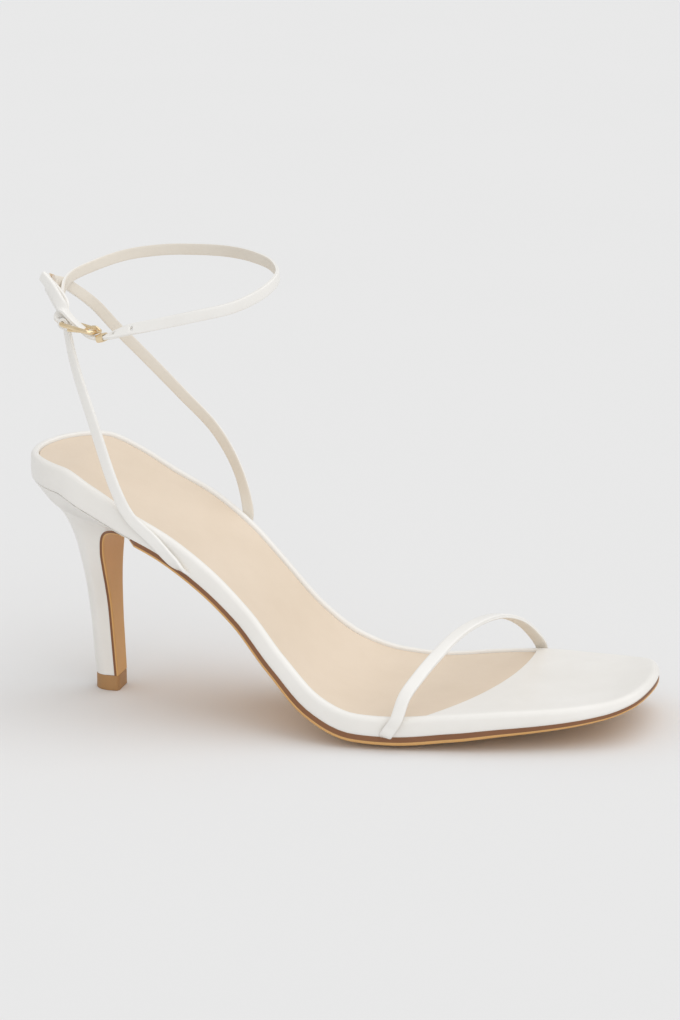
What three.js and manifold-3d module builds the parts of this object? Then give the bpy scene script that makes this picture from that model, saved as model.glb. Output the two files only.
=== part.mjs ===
// Strappy heeled sandal for the right foot, in millimetres, +Z up.
// +X runs to the toe, +Y to the inner side of the foot and -Y to the outer side.
// The origin is the middle of the heel tip's resting face.
import * as THREE from 'three';
import { mergeVertices } from 'three/addons/utils/BufferGeometryUtils.js';
import Module from 'manifold-3d';

const wasm = await Module();
wasm.setup();

// Driving sizes of the sole
const SOLE_LENGTH = 223.8;
const HEEL_OVERHANG = 27.3;
const BALL_WIDTH = 81.5;
const SEAT_HEIGHT = 87.2;
const TREAD_HEIGHT = 11.9;
const TOE_SPRING = 6.7;
const RAND_HEIGHT = 7.4;
const OUTSOLE_THICKNESS = 2.8;
const FLAP_THICKNESS = 1.4;
const SOLE_CROWN = 2.3;
const FOOT_DISH = 2.2;
const EDGE_ROUND = 1.7;
const OUTSOLE_INSET = 0.3;

// Driving sizes of the sock
const RIM_WIDTH = 2;
const SOCK_THICKNESS = 1;
const SOCK_DROP = 0.4;
const SOCK_FRONT = 171.8;
const SOCK_SLANT = 0.26;
const SOCK_BOW = 0.004;

// Driving sizes of the heel
const TIP_LENGTH = 9.6;
const TIP_WIDTH = 10.8;
const TIP_HEIGHT = 5.6;
const HEEL_WAIST_WIDTH = 28.6;
const CUP_REACH = 19.5;
const CUP_FRONT = 21.5;
const FLAP_TURN = 23.5;
const TIP_LIP = 0.1;
const TIP_SETBACK = 0.9;

// Driving sizes of the straps and buckle
const TOE_STRAP_WIDTH = 4.3;
const TOE_STRAP_THICKNESS = 1.9;
const TOE_STRAP_RISE = 21.8;
const TOE_STRAP_OUTER_X = 117;
const TOE_STRAP_INNER_X = 149;
const TOE_STRAP_LEAN = -4;
const ANKLE_STRAP_WIDTH = 4;
const ANKLE_STRAP_THICKNESS = 1.6;
const ANKLE_LENGTH = 77;
const ANKLE_WIDTH = 54.5;
const ANKLE_HEIGHT = 148;
const ANKLE_X = 25.3;
const ANKLE_Y = -3.2;
const OUTER_TUCK_X = 17.5;
const OUTER_TUCK_LEAN = 25;
const INNER_TUCK_X = 45.5;
const INNER_TUCK_LEAN = 3;
const TAB_LIFT = 1.4;
const TUCK_LENGTH = 7;
const BUCKLE_LENGTH = 14;
const BUCKLE_HEIGHT = 9.4;
const BUCKLE_WIRE = 1.5;
const PRONG_WIRE = 1.1;
const BUCKLE_CORNER = 1.8;
const TAB_WIDTH = 6.6;
const TAB_THICKNESS = 1.6;
const TAB_NECK = 0.55;
const SLEEVE_WALL = 0.9;
const BILLET_PLAY = 0.15;

// Clearances between pieces that meet
const GAP = 0.3;
const TUCK_GAP = 0.5;

// Fineness of the curved faces
const STATIONS = 34;
const COLUMNS = 6;
const SPAN_STEPS = 3;
const WIRE_SIDES = 8;

// Outline and side view of the foot at shares of the sole's length. centre and half are shares
// of the ball's width and half width, rise goes from tread to seat, and spring lifts the toe.
const lastTable = [
  { at: 0.00, centre: 0.012, half: 0.000, rise: 0.996, spring: 0.00 },
  { at: 0.03, centre: 0.012, half: 0.425, rise: 1.010, spring: 0.00 },
  { at: 0.08, centre: 0.018, half: 0.622, rise: 0.998, spring: 0.00 },
  { at: 0.14, centre: 0.001, half: 0.717, rise: 0.927, spring: 0.00 },
  { at: 0.20, centre: -0.023, half: 0.734, rise: 0.834, spring: 0.00 },
  { at: 0.27, centre: -0.058, half: 0.720, rise: 0.740, spring: 0.00 },
  { at: 0.34, centre: -0.097, half: 0.691, rise: 0.606, spring: 0.00 },
  { at: 0.40, centre: -0.125, half: 0.667, rise: 0.442, spring: 0.00 },
  { at: 0.46, centre: -0.140, half: 0.724, rise: 0.244, spring: 0.00 },
  { at: 0.52, centre: -0.134, half: 0.856, rise: 0.089, spring: 0.00 },
  { at: 0.58, centre: -0.104, half: 0.970, rise: 0.017, spring: 0.00 },
  { at: 0.64, centre: -0.066, half: 1.008, rise: 0.000, spring: 0.00 },
  { at: 0.72, centre: -0.023, half: 1.016, rise: 0.000, spring: 0.18 },
  { at: 0.80, centre: 0.004, half: 0.972, rise: 0.000, spring: 0.37 },
  { at: 0.88, centre: 0.027, half: 0.864, rise: 0.000, spring: 0.45 },
  { at: 0.94, centre: 0.043, half: 0.731, rise: 0.000, spring: 0.60 },
  { at: 0.98, centre: 0.046, half: 0.549, rise: 0.000, spring: 0.86 },
  { at: 1.00, centre: 0.048, half: 0.000, rise: 0.000, spring: 1.00 },
];

// Layers of the sole at the same shares, as shares of the rand's height, the outsole's
// thickness, the crown under the ball and the hollow of the foot.
const layerTable = [
  { at: 0.00, rand: 1.05, sole: 0.60, crown: 0.00, dish: 0.10 },
  { at: 0.03, rand: 1.03, sole: 0.60, crown: 0.02, dish: 0.45 },
  { at: 0.08, rand: 0.98, sole: 0.60, crown: 0.05, dish: 0.75 },
  { at: 0.14, rand: 0.95, sole: 0.62, crown: 0.08, dish: 0.85 },
  { at: 0.20, rand: 0.95, sole: 0.66, crown: 0.11, dish: 0.90 },
  { at: 0.27, rand: 0.98, sole: 0.70, crown: 0.13, dish: 0.95 },
  { at: 0.34, rand: 1.00, sole: 0.72, crown: 0.16, dish: 1.00 },
  { at: 0.40, rand: 1.00, sole: 0.74, crown: 0.22, dish: 1.00 },
  { at: 0.46, rand: 1.00, sole: 0.78, crown: 0.40, dish: 0.95 },
  { at: 0.52, rand: 0.98, sole: 0.88, crown: 0.72, dish: 0.80 },
  { at: 0.58, rand: 0.95, sole: 0.96, crown: 0.94, dish: 0.65 },
  { at: 0.64, rand: 0.92, sole: 1.00, crown: 1.00, dish: 0.55 },
  { at: 0.72, rand: 0.86, sole: 1.00, crown: 0.88, dish: 0.40 },
  { at: 0.80, rand: 0.76, sole: 0.96, crown: 0.66, dish: 0.20 },
  { at: 0.88, rand: 0.64, sole: 0.88, crown: 0.44, dish: 0.05 },
  { at: 0.94, rand: 0.52, sole: 0.78, crown: 0.26, dish: 0.00 },
  { at: 0.98, rand: 0.42, sole: 0.66, crown: 0.08, dish: 0.00 },
  { at: 1.00, rand: 0.35, sole: 0.60, crown: 0.00, dish: 0.00 },
];

// Heel from the seat down to its tip. back and front are X as shares of the cup's reach,
// backUp and frontUp are heights as shares of the seat's, half is a share of the waist's width.
const heelTable = [
  { back: -1.185, backUp: 0.846, front: 0.760, frontUp: 0.7100, half: 1.66 },
  { back: -1.015, backUp: 0.808, front: 0.500, frontUp: 0.7120, half: 1.46 },
  { back: -0.850, backUp: 0.768, front: 0.285, frontUp: 0.7010, half: 1.24 },
  { back: -0.680, backUp: 0.718, front: 0.175, frontUp: 0.6770, half: 1.05 },
  { back: -0.560, backUp: 0.650, front: 0.130, frontUp: 0.6400, half: 0.935 },
  { back: -0.468, backUp: 0.564, front: 0.115, frontUp: 0.5900, half: 0.850 },
  { back: -0.396, backUp: 0.470, front: 0.120, frontUp: 0.5280, half: 0.715 },
  { back: -0.352, backUp: 0.373, front: 0.137, frontUp: 0.4500, half: 0.570 },
  { back: -0.312, backUp: 0.275, front: 0.160, frontUp: 0.3670, half: 0.475 },
  { back: -0.280, backUp: 0.154, front: 0.180, frontUp: 0.2752, half: 0.425 },
];

// Monotone curve through one column of a table
function curve(table, column, abscissa = (row) => row.at) {
  const xs = table.map(abscissa);
  const ys = table.map((row) => row[column]);
  const slopes = [];
  for (let i = 0; i < xs.length - 1; i += 1) {
    slopes.push((ys[i + 1] - ys[i]) / (xs[i + 1] - xs[i]));
  }
  const tangents = xs.map((_, i) => {
    if (i === 0) return slopes[0];
    if (i === xs.length - 1) return slopes[i - 1];
    if (slopes[i - 1] * slopes[i] <= 0) return 0;
    const before = xs[i] - xs[i - 1];
    const after = xs[i + 1] - xs[i];
    const first = 2 * after + before;
    const second = after + 2 * before;
    return (first + second) / (first / slopes[i - 1] + second / slopes[i]);
  });
  return (x) => {
    let i = 0;
    while (i < xs.length - 2 && x > xs[i + 1]) i += 1;
    const step = xs[i + 1] - xs[i];
    const u = THREE.MathUtils.clamp((x - xs[i]) / step, 0, 1);
    const bend = u * u * (3 - 2 * u);
    const leave = u * (1 - u) * (1 - u) * step * tangents[i];
    const arrive = u * u * (u - 1) * step * tangents[i + 1];
    return ys[i] * (1 - bend) + ys[i + 1] * bend + leave + arrive;
  };
}

// Share of the length as an angle, so that the outline closes round at both ends
const angleAt = (share) => Math.acos(THREE.MathUtils.clamp(1 - 2 * share, -1, 1)) / Math.PI;
const shareAt = (angle) => (1 - Math.cos(Math.PI * angle)) / 2;
const toShare = (x) => (x + HEEL_OVERHANG) / SOLE_LENGTH;
const toX = (share) => share * SOLE_LENGTH - HEEL_OVERHANG;

const halfCurve = curve(lastTable, 'half', (row) => angleAt(row.at));
const centreCurve = curve(lastTable, 'centre');
const riseCurve = curve(lastTable, 'rise');
const springCurve = curve(lastTable, 'spring');
const randCurve = curve(layerTable, 'rand');
const soleCurve = curve(layerTable, 'sole');
const crownCurve = curve(layerTable, 'crown');
const dishCurve = curve(layerTable, 'dish');

const randDepth = (x) => RAND_HEIGHT * randCurve(toShare(x));
const soleDepth = (x) => OUTSOLE_THICKNESS * soleCurve(toShare(x));
const crownDepth = (x) => SOLE_CROWN * crownCurve(toShare(x));
const dishDepth = (x) => FOOT_DISH * dishCurve(toShare(x));

function topHeight(x) {
  const share = toShare(x);
  const climb = (SEAT_HEIGHT - TREAD_HEIGHT) * riseCurve(share);
  return TREAD_HEIGHT + climb + TOE_SPRING * springCurve(share);
}

function slopeAngle(x) {
  const reach = 2.5;
  const from = Math.max(x - reach, toX(0));
  const to = Math.min(x + reach, toX(1));
  return Math.atan2(topHeight(to) - topHeight(from), to - from);
}

// A point at a depth below the foot's top face, square to the side view
function place(x, y, depth) {
  const angle = slopeAngle(x);
  return new THREE.Vector3(x + depth * Math.sin(angle), y, topHeight(x) - depth * Math.cos(angle));
}

// Plan outline drawn in by an inset, as the two side edges at an X
const outlineCache = new Map();
function outline(inset) {
  if (outlineCache.has(inset)) return outlineCache.get(inset);
  const steps = 240;
  const sides = [-1, 1].map((side) => {
    const raw = [];
    for (let i = 0; i <= steps; i += 1) {
      const share = shareAt(i / steps);
      const centre = BALL_WIDTH * centreCurve(share);
      raw.push([toX(share), centre + side * (BALL_WIDTH / 2) * halfCurve(i / steps)]);
    }
    return raw.map(([x, y], i) => {
      const before = raw[Math.max(i - 1, 0)];
      const after = raw[Math.min(i + 1, steps)];
      const along = i === 0 || i === steps ? [0, 1] : [after[0] - before[0], after[1] - before[1]];
      const size = Math.hypot(...along);
      const inward = i === 0 ? [1, 0] : i === steps ? [-1, 0]
        : [side * along[1] / size, -side * along[0] / size];
      return [x + inset * inward[0], y + inset * inward[1]];
    }).sort((a, b) => a[0] - b[0]);
  });
  const read = (points, x) => {
    let i = 0;
    while (i < points.length - 2 && x > points[i + 1][0]) i += 1;
    const [x0, y0] = points[i];
    const [x1, y1] = points[i + 1];
    const u = THREE.MathUtils.clamp((x - x0) / Math.max(x1 - x0, 1e-9), 0, 1);
    return y0 + (y1 - y0) * u;
  };
  const found = {
    from: toX(0) + inset,
    to: toX(1) - inset,
    edges: (x) => {
      const low = read(sides[0], x);
      const high = read(sides[1], x);
      const middle = (low + high) / 2;
      return low < high ? [low, high] : [middle, middle];
    },
  };
  outlineCache.set(inset, found);
  return found;
}

// Share of the half width that a point lies from the middle of the outline, up to 1 at the edge
function sideShare(x, y) {
  const [low, high] = outline(0).edges(x);
  if (high - low < 1e-6) return 1;
  return Math.min(Math.abs(2 * y - low - high) / (high - low), 1);
}

// Depth of the joint between the footbed and what lies under it
const jointDepth = (x, y) => randDepth(x) + crownDepth(x) * (1 - sideShare(x, y) ** 2.4);
const footDepth = (x, y) => dishDepth(x) * (1 - sideShare(x, y) ** 2);

// Closed geometry from rings of points, with a fan over each end that isn't drawn to a line
function ringsToGeometry(rings, firstFan = true, lastFan = true) {
  const positions = [];
  const indices = [];
  rings.forEach((ring) => ring.forEach((p) => positions.push(p.x, p.y, p.z)));
  const count = rings[0].length;
  for (let i = 0; i < rings.length - 1; i += 1) {
    for (let j = 0; j < count; j += 1) {
      const a = i * count + j;
      const b = i * count + ((j + 1) % count);
      const c = a + count;
      const d = b + count;
      indices.push(a, c, b, b, c, d);
    }
  }
  [firstFan, lastFan].forEach((fan, side) => {
    if (!fan) return;
    const end = side * (rings.length - 1);
    const ring = rings[end];
    const middle = ring.reduce((sum, p) => sum.add(p), new THREE.Vector3()).divideScalar(count);
    const centre = positions.length / 3;
    positions.push(middle.x, middle.y, middle.z);
    for (let j = 0; j < count; j += 1) {
      const a = end * count + j;
      const b = end * count + ((j + 1) % count);
      if (side === 0) indices.push(a, b, centre);
      else indices.push(b, a, centre);
    }
  });
  const geometry = new THREE.BufferGeometry();
  geometry.setAttribute('position', new THREE.Float32BufferAttribute(positions, 3));
  geometry.setIndex(indices);
  return geometry;
}

// Welded geometry as a solid, turned so that it faces out
function solid(geometry) {
  const bare = geometry.clone();
  bare.deleteAttribute('normal');
  bare.deleteAttribute('uv');
  const welded = mergeVertices(bare, 1e-4);
  const points = welded.attributes.position.array;
  const index = welded.index.array;
  const kept = [];
  let volume = 0;
  for (let i = 0; i < index.length; i += 3) {
    const [a, b, c] = [index[i], index[i + 1], index[i + 2]];
    if (a === b || b === c || a === c) continue;
    kept.push(a, b, c);
    const [pa, pb, pc] = [a, b, c].map((k) => new THREE.Vector3().fromArray(points, 3 * k));
    volume += pa.dot(pb.cross(pc));
  }
  if (volume < 0) kept.reverse();
  const mesh = new wasm.Mesh({
    numProp: 3,
    vertProperties: new Float32Array(points),
    triVerts: new Uint32Array(kept),
  });
  mesh.merge();
  return new wasm.Manifold(mesh);
}

function toGeometry(body) {
  const mesh = body.getMesh();
  const geometry = new THREE.BufferGeometry();
  geometry.setAttribute('position', new THREE.BufferAttribute(mesh.vertProperties.slice(), 3));
  geometry.setIndex(new THREE.BufferAttribute(mesh.triVerts.slice(), 1));
  geometry.computeVertexNormals();
  return geometry;
}

// Body between faces laid over the last: each layer has an inset, a depth and its fineness
function layeredBody(layers, stations, range) {
  const rings = [];
  for (let i = 0; i <= stations; i += 1) {
    const u = shareAt(i / stations);
    const row = (layer, v) => {
      const area = outline(layer.inset);
      const x = range ? range(u, v, layer.inset) : area.from + (area.to - area.from) * u;
      const [low, high] = area.edges(x);
      const y = (low + high) / 2 + v * (high - low) / 2;
      return place(x, y, layer.depth(x, y));
    };
    const across = (layer, side) => Array.from(
      { length: COLUMNS + 1 },
      (_, c) => row(layer, side * (1 - 2 * c / COLUMNS)),
    );
    const between = layers.slice(1, -1);
    const outer = between.map((layer) => row(layer, -1));
    const inner = between.map((layer) => row(layer, 1)).reverse();
    rings.push([...across(layers[0], 1), ...outer, ...across(layers[layers.length - 1], -1), ...inner]);
  }
  const last = rings[rings.length - 1];
  if (range) rings.push(last.map((p, k) => p.clone().lerp(last[last.length - 1 - k], 0.5)));
  return solid(ringsToGeometry(rings, false, false));
}

// Front edge of the sock, which runs slantwise over the foot
function sockFront(y) {
  return SOCK_FRONT - HEEL_OVERHANG + SOCK_SLANT * y - SOCK_BOW * y * y;
}

function sockRange(edge) {
  return (u, v, inset) => {
    const area = outline(inset);
    let front = SOCK_FRONT - HEEL_OVERHANG;
    for (let turn = 0; turn < 6; turn += 1) {
      const [low, high] = area.edges(front);
      front = sockFront((low + high) / 2 + v * (high - low) / 2) - edge;
    }
    return area.from + (front - area.from) * u;
  };
}

// The bed of the shoe: a rounded rim, a hollow for the sock and a plain side
function footbedSolid() {
  const round = EDGE_ROUND;
  const layers = [
    { inset: round, depth: footDepth },
    { inset: round * 0.5, depth: () => round * 0.13 },
    { inset: round * 0.13, depth: () => round * 0.5 },
    { inset: 0, depth: () => round },
    { inset: 0, depth: (x) => randDepth(x) - OUTSOLE_INSET },
    { inset: OUTSOLE_INSET, depth: jointDepth },
  ];
  const body = layeredBody(layers, STATIONS);
  const hollow = layeredBody([
    { inset: RIM_WIDTH, depth: (x, y) => footDepth(x, y) - 2 },
    { inset: RIM_WIDTH, depth: (x, y) => footDepth(x, y) + SOCK_DROP + SOCK_THICKNESS + GAP },
  ], STATIONS, sockRange(0));
  return body.subtract(hollow);
}

function sockSolid() {
  const inset = RIM_WIDTH + GAP;
  return layeredBody([
    { inset, depth: (x, y) => footDepth(x, y) + SOCK_DROP },
    { inset, depth: (x, y) => footDepth(x, y) + SOCK_DROP + SOCK_THICKNESS },
  ], STATIONS, sockRange(GAP));
}

// Side view of the heel's breast, with the half width there
function breastAt(k) {
  const row = heelTable[k];
  return {
    x: CUP_REACH * row.front,
    z: SEAT_HEIGHT * row.frontUp,
    half: (HEEL_WAIST_WIDTH / 2) * row.half,
  };
}

// Tan sole from the toe to the breast and down to the heel's tip
function outsoleSolid() {
  const area = outline(OUTSOLE_INSET);
  const path = [];
  const steps = STATIONS;
  const begin = angleAt((FLAP_TURN - area.from) / (area.to - area.from));
  for (let i = 0; i <= steps; i += 1) {
    const u = shareAt(begin + (1 - begin) * i / steps);
    const x = area.from + (area.to - area.from) * u;
    const [low, high] = area.edges(x);
    const line = (depth) => {
      const points = [];
      for (let c = 0; c <= COLUMNS; c += 1) {
        const v = 1 - 2 * c / COLUMNS;
        const y = (low + high) / 2 + v * (high - low) / 2;
        points.push(place(x, y, depth(x, y)));
      }
      return points;
    };
    path.push({
      upper: line((at, y) => jointDepth(at, y) + GAP),
      lower: line((at, y) => jointDepth(at, y) + GAP + soleDepth(at)),
    });
  }
  const start = path[0];
  const flap = [];
  const centreStart = start.lower[COLUMNS / 2];
  const spine = [new THREE.Vector2(centreStart.x, centreStart.z)];
  heelTable.forEach((_, k) => spine.push(new THREE.Vector2(breastAt(k).x, breastAt(k).z)));
  spine.push(new THREE.Vector2(TIP_LENGTH / 2 - TIP_SETBACK, TIP_HEIGHT + GAP));
  spine.forEach((point, k) => {
    if (k === 0) return;
    const next = spine[Math.min(k + 1, spine.length - 1)];
    const before = spine[k - 1];
    const along = next.clone().sub(before).normalize();
    const back = new THREE.Vector2(along.y, -along.x).multiplyScalar(FLAP_THICKNESS);
    const half = breastAt(Math.min(k - 1, heelTable.length - 1)).half;
    const line = (shift) => {
      const points = [];
      for (let c = 0; c <= COLUMNS; c += 1) {
        points.push(new THREE.Vector3(point.x + shift.x, half * (1 - 2 * c / COLUMNS), point.y + shift.y));
      }
      return points;
    };
    flap.push({ upper: line(back), lower: line(new THREE.Vector2()) });
  });
  const all = [...flap.reverse(), ...path];
  const rings = all.map(({ upper, lower }) => [...upper, ...lower.slice().reverse()]);
  const body = solid(ringsToGeometry(rings, true, false));
  const ground = new THREE.BoxGeometry(SOLE_LENGTH * 2, BALL_WIDTH * 2, SEAT_HEIGHT);
  ground.translate(0, 0, -SEAT_HEIGHT / 2);
  return body.subtract(solid(ground));
}

// Half width of a round-backed section at a share of its length
function roundBack(share, roundPart) {
  return share < roundPart ? Math.sqrt(1 - (1 - share / roundPart) ** 2) : 1;
}

// Wrapped heel: a cup under the seat that runs down to a slim straight column
function heelSolid() {
  const sideSteps = 9;
  const frontSteps = 4;
  const roundPart = 0.62;
  const inner = FLAP_THICKNESS + GAP;
  const ring = (at) => {
    const points = [];
    for (let i = 0; i <= sideSteps; i += 1) points.push(at(1 - Math.cos(i * Math.PI / 2 / sideSteps), -1));
    const left = points[points.length - 1];
    const right = at(1, 1);
    for (let i = 1; i < frontSteps; i += 1) points.push(left.clone().lerp(right, i / frontSteps));
    for (let i = sideSteps; i > 0; i -= 1) points.push(at(1 - Math.cos(i * Math.PI / 2 / sideSteps), 1));
    return points;
  };
  const area = outline(OUTSOLE_INSET * 2);
  const seatPoint = (x, y) => place(x, y, jointDepth(x, y) + GAP);
  const seatLine = ring((a, side) => {
    const x = area.from + (CUP_FRONT - area.from) * a;
    const y = area.edges(x)[side < 0 ? 0 : 1];
    return new THREE.Vector3(x, y, 0);
  });
  const middle = new THREE.Vector3((area.from + CUP_FRONT) / 2, 0, 0);
  const rings = [0.35, 0.7, 1].map((share) => seatLine.map((p) => {
    const flat = middle.clone().lerp(p, share);
    return seatPoint(flat.x, flat.y);
  }));
  const spine = heelTable.map((row, k) => {
    const before = breastAt(Math.max(k - 1, 0));
    const after = breastAt(Math.min(k + 1, heelTable.length - 1));
    const along = new THREE.Vector2(after.x - before.x, after.z - before.z).normalize();
    return {
      back: new THREE.Vector2(CUP_REACH * row.back, SEAT_HEIGHT * row.backUp),
      front: new THREE.Vector2(breastAt(k).x + inner * along.y, breastAt(k).z - inner * along.x),
      half: breastAt(k).half,
    };
  });
  spine.push({
    back: new THREE.Vector2(TIP_LIP - TIP_LENGTH / 2, TIP_HEIGHT + GAP),
    front: new THREE.Vector2(TIP_LENGTH / 2 - TIP_SETBACK - inner, TIP_HEIGHT + GAP),
    half: TIP_WIDTH / 2 - TIP_LIP,
  });
  spine.forEach(({ back, front, half }) => {
    rings.push(ring((a, side) => {
      const at = back.clone().lerp(front, a);
      return new THREE.Vector3(at.x, side * half * roundBack(a, roundPart), at.y);
    }));
  });
  return solid(ringsToGeometry(rings));
}

// Tip under the heel and the flap
function topPieceSolid() {
  const steps = 10;
  const roundPart = 0.62;
  const shape = new THREE.Shape();
  const at = (i, side) => {
    const a = 1 - Math.cos(i * Math.PI / 2 / steps);
    return [-TIP_LENGTH / 2 + TIP_LENGTH * a, side * (TIP_WIDTH / 2) * roundBack(a, roundPart)];
  };
  shape.moveTo(...at(0, 1));
  for (let i = 1; i <= steps; i += 1) shape.lineTo(...at(i, -1));
  for (let i = steps; i > 0; i -= 1) shape.lineTo(...at(i, 1));
  return solid(new THREE.ExtrudeGeometry(shape, { depth: TIP_HEIGHT, bevelEnabled: false }));
}

// Section of a strap as shares of its half width and half thickness
const strapSection = [
  { wide: 1, deep: 0.45 },
  { wide: 0.78, deep: 1 },
  { wide: -0.78, deep: 1 },
  { wide: -1, deep: 0.45 },
  { wide: -1, deep: -0.45 },
  { wide: -0.78, deep: -1 },
  { wide: 0.78, deep: -1 },
  { wide: 1, deep: -0.45 },
];

// Flat strap with soft edges along a route whose rows give a point and the way it faces
function strapSolid(route, width, thickness) {
  const line = new THREE.CatmullRomCurve3(route.map((row) => row.at), false, 'centripetal');
  const facing = new THREE.CatmullRomCurve3(route.map((row) => row.out), false, 'centripetal');
  const shares = route.map((row) => row.wide ?? 1);
  const rings = [];
  const steps = SPAN_STEPS * (route.length - 1);
  for (let i = 0; i <= steps; i += 1) {
    const t = i / steps;
    const at = line.getPoint(t);
    const along = line.getTangent(t);
    const out = facing.getPoint(t);
    out.addScaledVector(along, -out.dot(along)).normalize();
    const across = new THREE.Vector3().crossVectors(out, along);
    const spot = t * (route.length - 1);
    const before = Math.min(Math.floor(spot), route.length - 2);
    const share = THREE.MathUtils.lerp(shares[before], shares[before + 1], spot - before);
    rings.push(strapSection.map(({ wide, deep }) => at.clone()
      .addScaledVector(across, wide * share * width / 2)
      .addScaledVector(out, deep * thickness / 2)));
  }
  return solid(ringsToGeometry(rings));
}

// How a strap goes down the rand and in under the footbed. on is a share of its lean, down of the
// rand's height, stand of its distance from the side, under of the tuck's length; face turns it.
const tuckTable = [
  { on: 0.05, down: 0.05, stand: 1, under: 0, face: 0 },
  { on: 0.45, down: 0.45, stand: 1, under: 0, face: 0 },
  { on: 0.80, down: 0.80, stand: 0.85, under: 0, face: 0.25 },
  { on: 0.98, down: 0.92, stand: -0.4, under: 0, face: 0.7 },
  { on: 1.14, down: 0.86, stand: 0, under: 0.5, face: 1 },
  { on: 1.32, down: 0.86, stand: 0, under: 1, face: 1 },
];

function tuckRows(x, side, lean, thickness) {
  const distance = GAP + thickness / 2;
  return tuckTable.map(({ on, down, stand, under, face }) => {
    const at = x + lean * on;
    const edge = outline(0).edges(at)[side < 0 ? 0 : 1];
    const y = edge + side * (stand * distance - under * TUCK_LENGTH);
    const below = place(at, 0, 1).sub(place(at, 0, 0));
    const out = new THREE.Vector3(0, side * (1 - face), 0).addScaledVector(below, face);
    return { at: place(at, y, randDepth(at) * down), out: out.normalize() };
  });
}

// Room that a tucked strap needs, a clearance larger than the strap all round
function tuckTool(route, width, thickness) {
  const last = route[route.length - 1];
  const before = route[route.length - 2];
  const onward = last.at.clone().sub(before.at).setLength(TUCK_GAP);
  const longer = [...route, { at: last.at.clone().add(onward), out: last.out }];
  return strapSolid(longer, width + 2 * TUCK_GAP, thickness + 2 * TUCK_GAP);
}

function largestPart(body) {
  return body.decompose().sort((a, b) => b.volume() - a.volume())[0];
}

// Toe strap: over the foot slantwise, from one rand to the other
const toeTucks = {
  outer: tuckRows(TOE_STRAP_OUTER_X, -1, TOE_STRAP_LEAN, TOE_STRAP_THICKNESS),
  inner: tuckRows(TOE_STRAP_INNER_X, 1, 0, TOE_STRAP_THICKNESS),
};

const toeArchTable = [
  { along: 0.06, across: 0.045, up: 0.32, lean: -0.94 },
  { along: 0.16, across: 0.12, up: 0.55, lean: -0.8 },
  { along: 0.28, across: 0.23, up: 0.76, lean: -0.6 },
  { along: 0.42, across: 0.37, up: 0.94, lean: -0.32 },
  { along: 0.56, across: 0.5, up: 1, lean: -0.05 },
  { along: 0.70, across: 0.65, up: 0.93, lean: 0.3 },
  { along: 0.82, across: 0.78, up: 0.73, lean: 0.6 },
  { along: 0.92, across: 0.89, up: 0.43, lean: 0.85 },
];

function toeStrapRoute() {
  const start = toeTucks.outer[0].at;
  const end = toeTucks.inner[0].at;
  const arch = toeArchTable.map(({ along, across, up, lean }) => ({
    at: new THREE.Vector3(
      THREE.MathUtils.lerp(start.x, end.x, along),
      THREE.MathUtils.lerp(start.y, end.y, across),
      THREE.MathUtils.lerp(start.z, end.z, along) + TOE_STRAP_RISE * up,
    ),
    out: new THREE.Vector3(0, lean, Math.sqrt(1 - lean * lean)),
  }));
  return [...toeTucks.outer.slice().reverse(), ...arch, ...toeTucks.inner];
}

// Place of a row of an ankle route. along and across are shares of the ankle's length and width,
// and up is a share of the way from the seat to the strap's height.
function anklePoint(row) {
  const x = ANKLE_X + ANKLE_LENGTH * row.along;
  const y = ANKLE_Y + ANKLE_WIDTH * row.across;
  return new THREE.Vector3(x, y, SEAT_HEIGHT + (ANKLE_HEIGHT - SEAT_HEIGHT) * row.up);
}

// Way that a strap faces: out from the ankle, tipped up by a share
function ankleRow(row) {
  const out = new THREE.Vector3(row.along / ANKLE_LENGTH, row.across / ANKLE_WIDTH, 0).normalize();
  out.z = row.tip ?? 0;
  return { at: anklePoint(row), out: out.normalize() };
}

const outerStrapTable = [
  { along: -0.150, across: -0.548, up: -0.090 },
  { along: -0.272, across: -0.490, up: 0.313 },
  { along: -0.368, across: -0.395, up: 0.590 },
  { along: -0.430, across: -0.290, up: 0.805 },
  { along: -0.478, across: -0.150, up: 0.950 },
  { along: -0.492, across: 0.059, up: 1.007 },
  { along: -0.432, across: 0.270, up: 1.043 },
  { along: -0.309, across: 0.431, up: 1.089 },
  { along: -0.147, across: 0.499, up: 1.118 },
  { along: 0.022, across: 0.484, up: 1.133 },
  { along: 0.191, across: 0.385, up: 1.148 },
  { along: 0.340, across: 0.235, up: 1.151 },
  { along: 0.457, across: 0.083, up: 1.133 },
  { along: 0.510, across: -0.070, up: 1.095 },
  { along: 0.477, across: -0.239, up: 1.036 },
  { along: 0.373, across: -0.396, up: 0.974 },
  { along: 0.217, across: -0.477, up: 0.928 },
  { along: 0.035, across: -0.503, up: 0.872, tip: 0.15 },
  { along: -0.074, across: -0.497, up: 0.838, tip: 0.7 },
];

const innerStrapTable = [
  { along: 0.210, across: 0.510, up: -0.192 },
  { along: 0.100, across: 0.521, up: 0.051 },
  { along: -0.069, across: 0.517, up: 0.268 },
  { along: -0.231, across: 0.462, up: 0.490 },
  { along: -0.342, across: 0.371, up: 0.663 },
  { along: -0.424, across: 0.246, up: 0.827 },
  { along: -0.500, across: 0.095, up: 0.950 },
  { along: -0.503, across: -0.033, up: 0.993 },
  { along: -0.522, across: -0.134, up: 1.020 },
];

const tailTable = [
  { along: -0.470, across: -0.385, up: 0.945, tip: 0.6 },
  { along: -0.535, across: -0.320, up: 1.020, tip: 0.3 },
  { along: -0.575, across: -0.275, up: 1.075, tip: 0.2 },
];

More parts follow.
